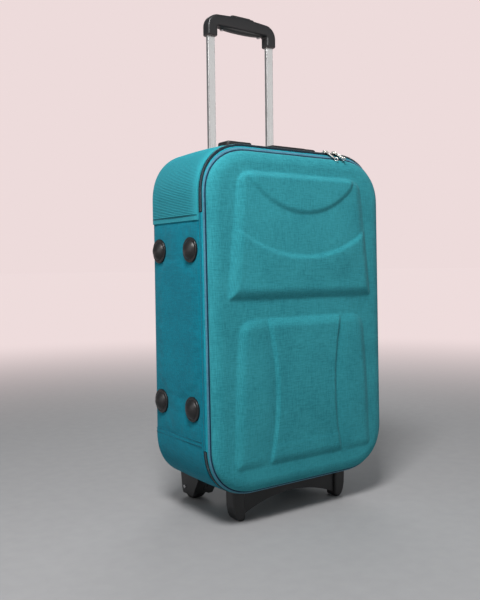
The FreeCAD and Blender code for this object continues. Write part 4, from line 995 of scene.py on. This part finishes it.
def webbing_strip(start, end, half_width, thick, sag):
    """(vertices, faces) of a flat strap along X with rolled selvedges, sagging along Y."""
    section = [(-1, 0), (-0.94, 1), (-0.5, 0.8), (0, 0.8), (0.5, 0.8), (0.94, 1), (1, 0),
               (0.94, -1), (0.5, -0.8), (0, -0.8), (-0.5, -0.8), (-0.94, -1)]
    line = np.linspace(0, 1, 44)
    rings = []
    for across, out in section:
        x = start.x + (end.x - start.x) * line
        y = start.y + (end.y - start.y) * line - sag * np.sin(line * math.pi) + out * thick / 2
        z = np.full_like(x, start.z + across * half_width)
        rings.append(np.stack([x, y, z], -1))
    return outward_faces(np.stack(rings, 1).reshape(-1, 3), tube_faces(len(line), len(section)))


def packing_straps():
    """Two webbing straps with sewn ends that meet at the clip."""
    low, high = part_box("packing_straps")
    half = (high.z - low.z) / 2
    y = (low.y + high.y) / 2 - 1.2 * MM
    parts = []
    for side in (-1, 1):
        start, end = Vector((side * 26 * MM, y - 2 * MM, MIDDLE)), Vector((side * high.x, y, MIDDLE))
        parts.append(webbing_strip(start, end, half, 1.4 * MM, 1.5 * MM))
        fold_from = Vector((side * 24 * MM, y - 3.2 * MM, MIDDLE))
        fold_to = Vector((side * 52 * MM, y - 3.4 * MM, MIDDLE))
        parts.append(webbing_strip(fold_from, fold_to, half * 0.98, 1.3 * MM, 0.2 * MM))
    made = solid("packing_webbing", *joined(parts), WEBBING, "case", 60)
    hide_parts("packing_straps")


# ---------------------------------------------------------------- stitching

def stitch_row(name, body, points, out, material, spacing=4.2 * MM, radius=0.36 * MM):
    """A row of stitches along a line of points, on a surface that faces out."""
    points, out = np.asarray(points, float), np.asarray(out, float)
    steps = np.linalg.norm(np.diff(points, axis=0), axis=1)
    along = np.concatenate([[0], np.cumsum(steps)])
    at = np.arange(spacing / 2, along[-1], spacing)
    half_length, nearby = 1.45 * MM, 0.5 * MM

    def read(values, places):
        return np.stack([np.interp(places, along, values[:, k]) for k in range(3)], -1)
    heading = read(points, at + nearby) - read(points, at - nearby)
    shape = beads(read(points, at), heading, read(out, at), half_length, radius, 5)
    made = solid(name, *shape, material, body, 80)


def along_outline(places, inset, y):
    """Points and outward normals of a line on the walls."""
    x, z = rim(places, inset)
    out = np.stack([at_place(places, NORMAL_X), np.zeros_like(x), at_place(places, NORMAL_Z)], -1)
    return np.stack([x, np.full_like(x, y), z], -1), out


def across_wall(side, level, inset):
    """Points and normals of a line from front to back at a height, round the back edge too."""
    place = place_at(side, level)
    run = [(inset, y) for y in np.linspace(FRONT_Y + 2 * MM, BACK_Y - BACK_RADIUS, 30)]
    run += arc((BACK_RADIUS + inset, BACK_Y - BACK_RADIUS), BACK_RADIUS, 180, 90, 10)[1:]
    insets, depth = np.array(run).T
    x, z = rim(np.full(len(run), place), insets)
    normal = (float(at_place(place, NORMAL_X)), 0.0, float(at_place(place, NORMAL_Z)))
    return np.stack([x, depth, z], -1), np.broadcast_to(normal, (len(run), 3))


def stitching():
    """Every sewn line that shows."""
    top = stretch(place_at(1, SEAM_HIGH) + 8 * MM, place_at(-1, SEAM_HIGH) - 8 * MM, 3 * MM)
    points, out = along_outline(top, -2.6 * MM, FRONT_Y + 14 * MM)
    stitch_row("stitch_gusset_top", "case", points, out, TEAL_THREAD)
    for name, side in (("left", -1), ("right", 1)):
        rows = (("high", SEAM_HIGH + 7 * MM, -2.0), ("low", SEAM_LOW - 7 * MM, -1.1),
                ("lap", SEAM_LOW - 0.5 * MM, -0.9))
        for row, level, inset in rows:
            points, out = across_wall(side, level, inset * MM)
            stitch_row(f"stitch_{row}_{name}", "case", points, out, DARK_THREAD,
                       spacing=3.3 * MM, radius=0.45 * MM)
    ring = np.append(ring_places(4 * MM), AROUND)
    points, out = along_outline(ring, 20 * MM, BACK_Y + 0.2 * MM)
    back = np.broadcast_to((0.0, 1.0, 0.0), out.shape)
    stitch_row("stitch_back", "case", points, back, TEAL_THREAD)
    pole_x = middle_of("outer_tube_right").x
    z = np.linspace(MIDDLE - 0.235, MIDDLE + 0.235, 200)
    level = np.full_like(z, BACK_Y + 0.7 * MM)
    back = np.broadcast_to((0.0, 1.0, 0.0), (len(z), 3))
    for name, middle in (("left", -pole_x), ("right", pole_x)):
        for edge, gap in (("a", -17 * MM), ("b", 17 * MM)):
            points = np.stack([np.full_like(z, middle + gap), level, z], -1)
            stitch_row(f"stitch_channel_{name}_{edge}", "case", points, back, DARK_THREAD)


# ---------------------------------------------------------------- hardware

TONGUE_DROP = 1.65 * MM


def loft_handle(half_length, half_width, height, tongue, swap):
    """(vertices, faces) of a carry handle: flat tongues that swell into a ribbed hand pad.
    swap(along, across, up) puts the local directions into the case's frame."""
    along = np.linspace(-half_length, half_length, 181)
    pad = 1 - smooth_step(abs(along), 36 * MM, 46 * MM)
    wide = tongue + (half_width - tongue) * pad
    tall = 1.6 * MM + (height / 2 - 1.6 * MM) * pad
    ribs = 0.45 * MM * (0.5 + 0.5 * np.cos(along * TAU / (5 * MM))) * (abs(along) < 34 * MM)
    ends = np.sqrt(np.clip(1 - ((abs(along) - half_length + 8 * MM) / (8 * MM)).clip(0) ** 2, 0.02, 1))
    turn = np.linspace(0, TAU, 28, endpoint=False)
    across, up = bent(np.cos(turn), 0.55), bent(np.sin(turn), 0.7)
    y = (wide * ends)[:, None] * across
    z = tall[:, None] * up - (ribs * pad)[:, None] * np.clip(np.sin(turn), 0, 1)
    z -= TONGUE_DROP * (1 - pad)[:, None]
    x = np.broadcast_to(along[:, None], y.shape)
    vertices = np.stack(swap(x, y, z), -1).reshape(-1, 3)
    return vertices, tube_faces(181, 28)


def carry_handles():
    """Soft hand pads of the top handle and of the side handle."""
    for name, lengthwise, upwards in (("top_handle", 0, 2), ("side_handle", 2, 0)):
        low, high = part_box(f"{name}_grip")
        middle, size = (low + high) / 2, high - low

        def swap(x, y, z):
            parts = [None, middle.y + y, None]
            parts[lengthwise] = middle[lengthwise] + x
            parts[upwards] = middle[upwards] + z
            return parts
        shape = loft_handle(size[lengthwise] / 2, size.y / 2, size[upwards], 11.5 * MM, swap)
        body = "top_grip" if name == "top_handle" else "side_grip"
        made = solid(f"{name}_pad", *shape, BLACK, body, 50, leaning=False)
        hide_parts(f"{name}_grip")


def squared(count, power):
    """Directions round a section with flat sides and rounded corners."""
    turn = np.linspace(0, TAU, count, endpoint=False)
    return bent(np.cos(turn), power), bent(np.sin(turn), power)


def grip_path(pole_x, foot, crest, bend):
    """Centre line of the grip and its outward directions, in x and z, from leg to leg."""
    rise = [(-pole_x, z, 180) for z in np.linspace(foot, crest - bend, 12)]
    for angle in np.linspace(180, 90, 12)[1:]:
        a = math.radians(angle)
        rise.append((-pole_x + bend + bend * math.cos(a), crest - bend + bend * math.sin(a), angle))
    bar = [(x, crest, 90) for x in np.linspace(-pole_x + bend, pole_x - bend, 80)[1:-1]]
    path = rise + bar + [(-x, z, 180 - angle) for x, z, angle in rise[::-1]]
    x, z, angle = np.array(path).T
    return x, z, np.cos(np.radians(angle)), np.sin(np.radians(angle))


def grip_cover():
    """Moulded hand grip: two legs that turn into a bar, raised in its middle round the button."""
    low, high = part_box("grip_shell")
    pole = middle_of("inner_tube_right")
    crest, bend = high.z - 14.2 * MM, 13 * MM
    x, z, out_x, out_z = grip_path(pole.x, low.z, crest, bend)
    across = 1 - smooth_step(abs(x), 20 * MM, 62 * MM)
    bed = 1 - smooth_step(abs(x), 24 * MM, 26 * MM)
    z = z + 1.2 * MM * across
    ends = np.clip((z - low.z) / (1.5 * MM), 0, 1)
    size = (0.93 + 0.07 * np.sqrt(1 - (1 - ends) ** 2))[:, None]
    half = (10.6 * MM + 0.9 * MM * across)[:, None]
    outer, side = squared(36, 0.4)
    reach = (half * outer + (1.8 * MM * bed)[:, None] * np.clip(outer, 0, 1)) * size
    depth = 10.6 * MM * side * size
    vertices = np.stack([x[:, None] + out_x[:, None] * reach, pole.y + depth,
                         z[:, None] + out_z[:, None] * reach], -1).reshape(-1, 3)
    made = solid("grip_cover", vertices, tube_faces(len(x), 36), BLACK, "trolley", 50, leaning=False)
    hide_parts("grip_shell")
    belly(pole.y, crest - 8.2 * MM)


def belly(pole_y, level):
    """Lower half of the bar, which swells downward in its middle."""
    low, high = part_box("grip_insert")
    x = np.linspace(low.x, high.x, 61)
    half = (high.x - low.x) / 2
    swell = np.sqrt(np.clip(1 - (x / half) ** 2, 0.02, 1))[:, None]
    up, side = squared(32, 0.8)
    depth = (8.6 * MM * side)[None, :] * (0.8 + 0.2 * swell)
    drop = np.where(up < 0, (2.0 * MM + 4.6 * MM * swell) * up, 2.0 * MM * up)
    across = np.broadcast_to(x[:, None], drop.shape)
    vertices = np.stack([across, pole_y + depth, level + drop], -1).reshape(-1, 3)
    made = solid("grip_belly", vertices, tube_faces(61, 32), GREY, "trolley", 50, leaning=False)
    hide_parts("grip_insert")


def zip_pulls():
    """Plated zip tabs, each with a hole and a ring, hanging forward over the lid's edge."""
    for name, turned, hung in (("1", 30, 38), ("2", 10, 34)):
        low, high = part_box(f"zip_pull_{name}")
        hinge = Vector(((low.x + high.x) / 2, high.y - 1.9 * MM, (low.z + high.z) / 2))
        heading, drop = math.radians(turned), math.radians(hung)
        level = math.cos(drop)
        ahead = Vector((math.sin(heading) * level, -math.cos(heading) * level, -math.sin(drop)))
        across = Vector((math.cos(heading), math.sin(heading), 0))
        up = across.cross(-ahead).normalized()
        tab = tab_plate(hinge, ahead, across, up)
        ring = hoop(hinge + ahead * 25.6 * MM, ahead, up, 2.9 * MM, 0.7 * MM)
        bail = hoop(hinge + ahead * 2.4 * MM, ahead, across, 3.6 * MM, 0.9 * MM)
        shape = joined([tab, ring, bail])
        made = solid(f"zip_tab_{name}", *shape, PLATED, f"pull_{name}", 40, leaning=False)
        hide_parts(f"zip_pull_{name}")


def tab_plate(hinge, ahead, across, up):
    """(vertices, faces) of a flat tab with rounded ends and a hole near its free end."""
    turn = np.linspace(0, TAU, 64, endpoint=False)
    cosine, sine = np.cos(turn), np.sin(turn)
    middle, half_length, hole = 14.5 * MM, 10.5 * MM, 21.2 * MM
    length = half_length * bent(cosine, 0.45)
    width = (4.5 * MM - 1.3 * MM * np.clip(-cosine, 0, 1)) * bent(sine, 0.6)
    layers = []
    for shrink, level in ((0.86, 0.9), (1.0, 0.5), (1.0, -0.5), (0.86, -0.9)):
        layers.append((middle + length * shrink ** 0.4, width * shrink, level * MM))
    for size, level in ((1.9, -0.9), (1.6, -0.5), (1.6, 0.5), (1.9, 0.9)):
        layers.append((hole + size * MM * cosine, size * MM * sine, level * MM))
    rows = []
    for reach, aside, level in layers:
        middles = np.array(hinge) + level * np.array(up)
        rows.append(middles + np.outer(reach, ahead) + np.outer(aside, across))
    vertices = np.stack(rows, 1).reshape(-1, 3)
    return outward_faces(vertices, tube_faces(64, len(layers), capped=False))


def hoop(centre, first, second, radius, thick):
    """(vertices, faces) of a round wire ring in the plane of two directions."""
    turn = np.linspace(0, TAU, 40, endpoint=False)
    first, second = np.array(first), np.array(second)
    normal = np.cross(first, second)
    rows = []
    for angle in np.linspace(0, TAU, 10, endpoint=False):
        reach = radius + thick * math.cos(angle)
        circle = np.outer(np.cos(turn) * reach, first) + np.outer(np.sin(turn) * reach, second)
        rows.append(np.array(centre) + circle + normal * thick * math.sin(angle))
    vertices = np.stack(rows, 1).reshape(-1, 3)
    return outward_faces(vertices, tube_faces(40, 10, capped=False))


def outward_faces(vertices, faces):
    """The same solid with its faces turned outward."""
    if volume_sign(vertices, faces) < 0:
        faces = [tuple(reversed(face)) for face in faces]
    return vertices, faces


def lock_dials():
    """Three fluted combination dials."""
    for index in (1, 2, 3):
        low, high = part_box(f"lock_dial_{index}")
        middle = (low + high) / 2
        radius, half = (high.z - low.z) / 2, (high.x - low.x) / 2
        turn = np.linspace(0, TAU, 120, endpoint=False)
        bore = np.full_like(turn, 1.05 * MM)
        flute = radius - 0.5 * MM * (0.5 + 0.5 * np.cos(turn * 10)) ** 2
        edge = flute - 0.5 * MM
        layers = []
        for size, level in ((bore, 1), (edge, 1), (flute, 0.72), (flute, -0.72), (edge, -1), (bore, -1)):
            layers.append(np.stack([np.full_like(turn, middle.x + level * half),
                                    middle.y + size * np.cos(turn),
                                    middle.z + size * np.sin(turn)], -1))
        vertices = np.stack(layers, 1).reshape(-1, 3)
        faces = tube_faces(120, len(layers), capped=False)
        made = solid(f"dial_wheel_{index}", vertices, faces, DIAL, f"dial_{index}", 30, leaning=False)
        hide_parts(f"lock_dial_{index}")


def key_lock():
    """Plated key barrel at the lock's left end."""
    low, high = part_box("lock_body")
    centre = (low.x + 9 * MM, (low.y + high.y) / 2, high.z)
    cup = section_at(0, (0.6, -1), (4.6, -1), (4.6, 0.3), (4.2, 0.7), (3.4, 0.7), (3.1, 0.3),
                     (1.2, 0.3), (0.6, -0.3))
    made = solid("key_barrel", *lathe(cup, centre, 2, 48), PLATED, "case", 30, leaning=False)


def wheels():
    """Grooved tyres on spoked hubs."""
    for name in ("left", "right"):
        low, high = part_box(f"wheel_tyre_{name}")
        centre = (low + high) / 2
        half, radius, bore = (high.x - low.x) / 2, (high.z - low.z) / 2, 16 * MM
        inner = radius - 1 * MM
        shoulder_half = [(bore, -half), (radius - 3 * MM, -half), (inner, -half + 0.8 * MM),
                         (radius, -half + 3 * MM)]
        crown = list(shoulder_half)
        for middle in (-3.5 * MM, 3.5 * MM):
            crown += [(radius, middle - 1 * MM), (inner, middle - 0.5 * MM),
                      (inner, middle + 0.5 * MM), (radius, middle + 1 * MM)]
        crown += [(reach, -along) for reach, along in shoulder_half[::-1]]
        shape = lathe(crown, centre, 0, 96)
        tyre = solid(f"tyre_{name}", *shape, RUBBER, f"wheel_{name}", 30, leaning=False)
        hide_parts(f"wheel_tyre_{name}")
        rim_ring = [(13.2 * MM, -half), (bore, -half), (bore, half), (13.2 * MM, half),
                    (12.6 * MM, half - 1 * MM), (12.6 * MM, 0), (12.6 * MM, -half + 1 * MM)]
        boss = [(3.1 * MM, -half), (5.6 * MM, -half), (6 * MM, -half + 0.8 * MM),
                (6 * MM, half - 0.8 * MM), (5.6 * MM, half), (3.1 * MM, half)]
        parts = [lathe(rim_ring, centre, 0, 72), lathe(boss, centre, 0, 48)]
        parts += [spoke(centre, TAU * index / 6, half - 3 * MM) for index in range(6)]
        hub = solid(f"hub_{name}", *joined(parts), HUB, f"wheel_{name}", 30, leaning=False)
        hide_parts(f"wheel_hub_{name}")


def spoke(centre, angle, half):
    """(vertices, faces) of one tapered spoke."""
    points = []
    root, waist, tip = (5.0, 2.2, 0), (9.0, 1.6, 1), (13.4, 2.4, 0)
    for reach, wide, cut in np.array((root, waist, tip)) * MM:
        for side, level in ((-1, -1), (1, -1), (1, 1), (-1, 1)):
            y = reach * math.cos(angle) - side * wide * math.sin(angle)
            z = reach * math.sin(angle) + side * wide * math.cos(angle)
            points.append((centre.x + level * (half - cut), centre.y + y, centre.z + z))
    return outward_faces(np.array(points), tube_faces(3, 4))


# ---------------------------------------------------------------- CAD parts that stay

KEPT = {
    BLACK: ("clip_socket", "clip_plug", "top_handle_brackets", "side_handle_brackets", "tube_bezel",
            "tube_foot_bracket", "tube_plugs", "push_button", "front_foot_bar",
            "wheel_housing_left", "wheel_housing_right"),
    GLOSS: ("side_feet", "lock_body", "lock_slide"),
    BOARD: ("base_board", "back_rim_strip"),
    POLE: ("outer_tube_left", "outer_tube_right", "inner_tube_left", "inner_tube_right"),
    PLATED: ("zip_slider_1", "zip_slider_2"),
    STEEL: ("side_foot_screws", "grip_screws", "rod_yoke", "lock_pin_left", "lock_pin_right",
            "push_rods", "button_spring", "wheel_axles", "underside_screws"),
}


def finish_kept_parts():
    """Material for the CAD parts that are shown as they are."""
    for material, names in KEPT.items():
        for name in names:
            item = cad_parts[name]
            item.data.materials.clear()
            item.data.materials.append(material)


# ---------------------------------------------------------------- stage, light and camera

def stage():
    """Plain pale floor, and a studio whose backdrop colour doesn't light the case."""
    corners = [(-90, -90, 0), (90, -90, 0), (90, 90, 0), (-90, 90, 0)]
    floor = solid("floor", corners, [(0, 1, 2, 3)], floor_material(), None, closed=False, leaning=False)
    floor.location.z = CAD_BOX[0].z - 0.2 * MM
    world = bpy.data.worlds.new("studio")
    world.use_nodes = True
    tree = world.node_tree
    seen = tree.nodes["Background"]
    seen.inputs["Color"].default_value = linear(BACKDROP)
    ambient = tree.nodes.new("ShaderNodeBackground")
    ambient.inputs["Color"].default_value = (0.92, 0.97, 1.0, 1)
    ambient.inputs["Strength"].default_value = 0.2
    choice = tree.nodes.new("ShaderNodeMixShader")
    path = tree.nodes.new("ShaderNodeLightPath")
    tree.links.new(path.outputs["Is Camera Ray"], choice.inputs[0])
    tree.links.new(ambient.outputs[0], choice.inputs[1])
    tree.links.new(seen.outputs[0], choice.inputs[2])
    tree.links.new(choice.outputs[0], tree.nodes["World Output"].inputs["Surface"])
    bpy.context.scene.world = world
    bpy.context.scene.view_settings.view_transform = "Standard"


def floor_material():
    """Matt grey card that fades into the backdrop's colour away from the case."""
    paint = Paint("pale_floor", 0.9, specular=0.1)
    reach = paint.add("VectorMath", output="Value", settings={"operation": "LENGTH"}, in0=paint.coords)
    far = paint.add("MapRange", settings={"interpolation_type": "SMOOTHSTEP"}, Value=reach,
                    From_Min=0.7, From_Max=3.2)
    grain = paint.mix(paint.noise(40.0, 3.0), linear((148, 147, 148)), linear((156, 155, 156)))
    paint.set("Base Color", paint.mix(far, grain, linear((0, 0, 0))))
    paint.set("Emission Color", paint.mix(far, linear((0, 0, 0)), linear(BACKDROP)))
    paint.set("Emission Strength", 1.0)
    return paint.material


def softbox(name, place, target, size, watts):
    """Large soft light aimed at a point."""
    data = bpy.data.lights.new(name, "AREA")
    data.shape = "RECTANGLE"
    data.size, data.size_y = size
    data.energy = watts
    lamp = bpy.data.objects.new(name, data)
    lamp.location = place
    lamp.rotation_euler = (Vector(target) - Vector(place)).to_track_quat("-Z", "Y").to_euler()
    bpy.context.scene.collection.objects.link(lamp)


def lights():
    """Key from the upper left, weak fills, and a rim light for the back."""
    centre = (0, 0, MIDDLE + 0.05)
    softbox("key", (-0.86, -0.78, 1.78), (0, 0, 0.5), (0.5, 0.5), 41)
    softbox("side", (-2.0, -0.3, 0.95), centre, (1.2, 1.3), 8)
    softbox("fill", (1.4, -2.0, 1.2), centre, (1.5, 1.6), 5)
    softbox("rear", (1.5, 1.7, 1.6), centre, (1.4, 1.2), 24)


def camera():
    """Camera a little above the case's middle, in front of its left side, looking slightly down."""
    yaw, pitch, roll = 0.622, 0.0446, -0.0118
    ahead = Vector((math.sin(yaw) * math.cos(pitch), math.cos(yaw) * math.cos(pitch), -math.sin(pitch)))
    level = Vector((math.cos(yaw), -math.sin(yaw), 0))
    right = level * math.cos(roll) + level.cross(ahead) * math.sin(roll)
    up = right.cross(ahead)
    data = bpy.data.cameras.new("camera")
    data.lens = 43.38
    data.sensor_width = 36
    made = bpy.data.objects.new("camera", data)
    made.matrix_world = Matrix((right, up, -ahead)).transposed().to_4x4()
    made.location = (-0.80595, -1.03854, 0.42529)
    bpy.context.scene.collection.objects.link(made)
    bpy.context.scene.camera = made


camera()
stage()
lights()
upper_gusset()
lower_gusset()
side_panel("left", -1)
side_panel("right", 1)
back_cover()
zip_halves()
hinge()
lid_band()
piping()
rims()
lid_shell()
linings()
lid_pocket()
packing_straps()
stitching()
carry_handles()
grip_cover()
zip_pulls()
lock_dials()
key_lock()
wheels()
finish_kept_parts()
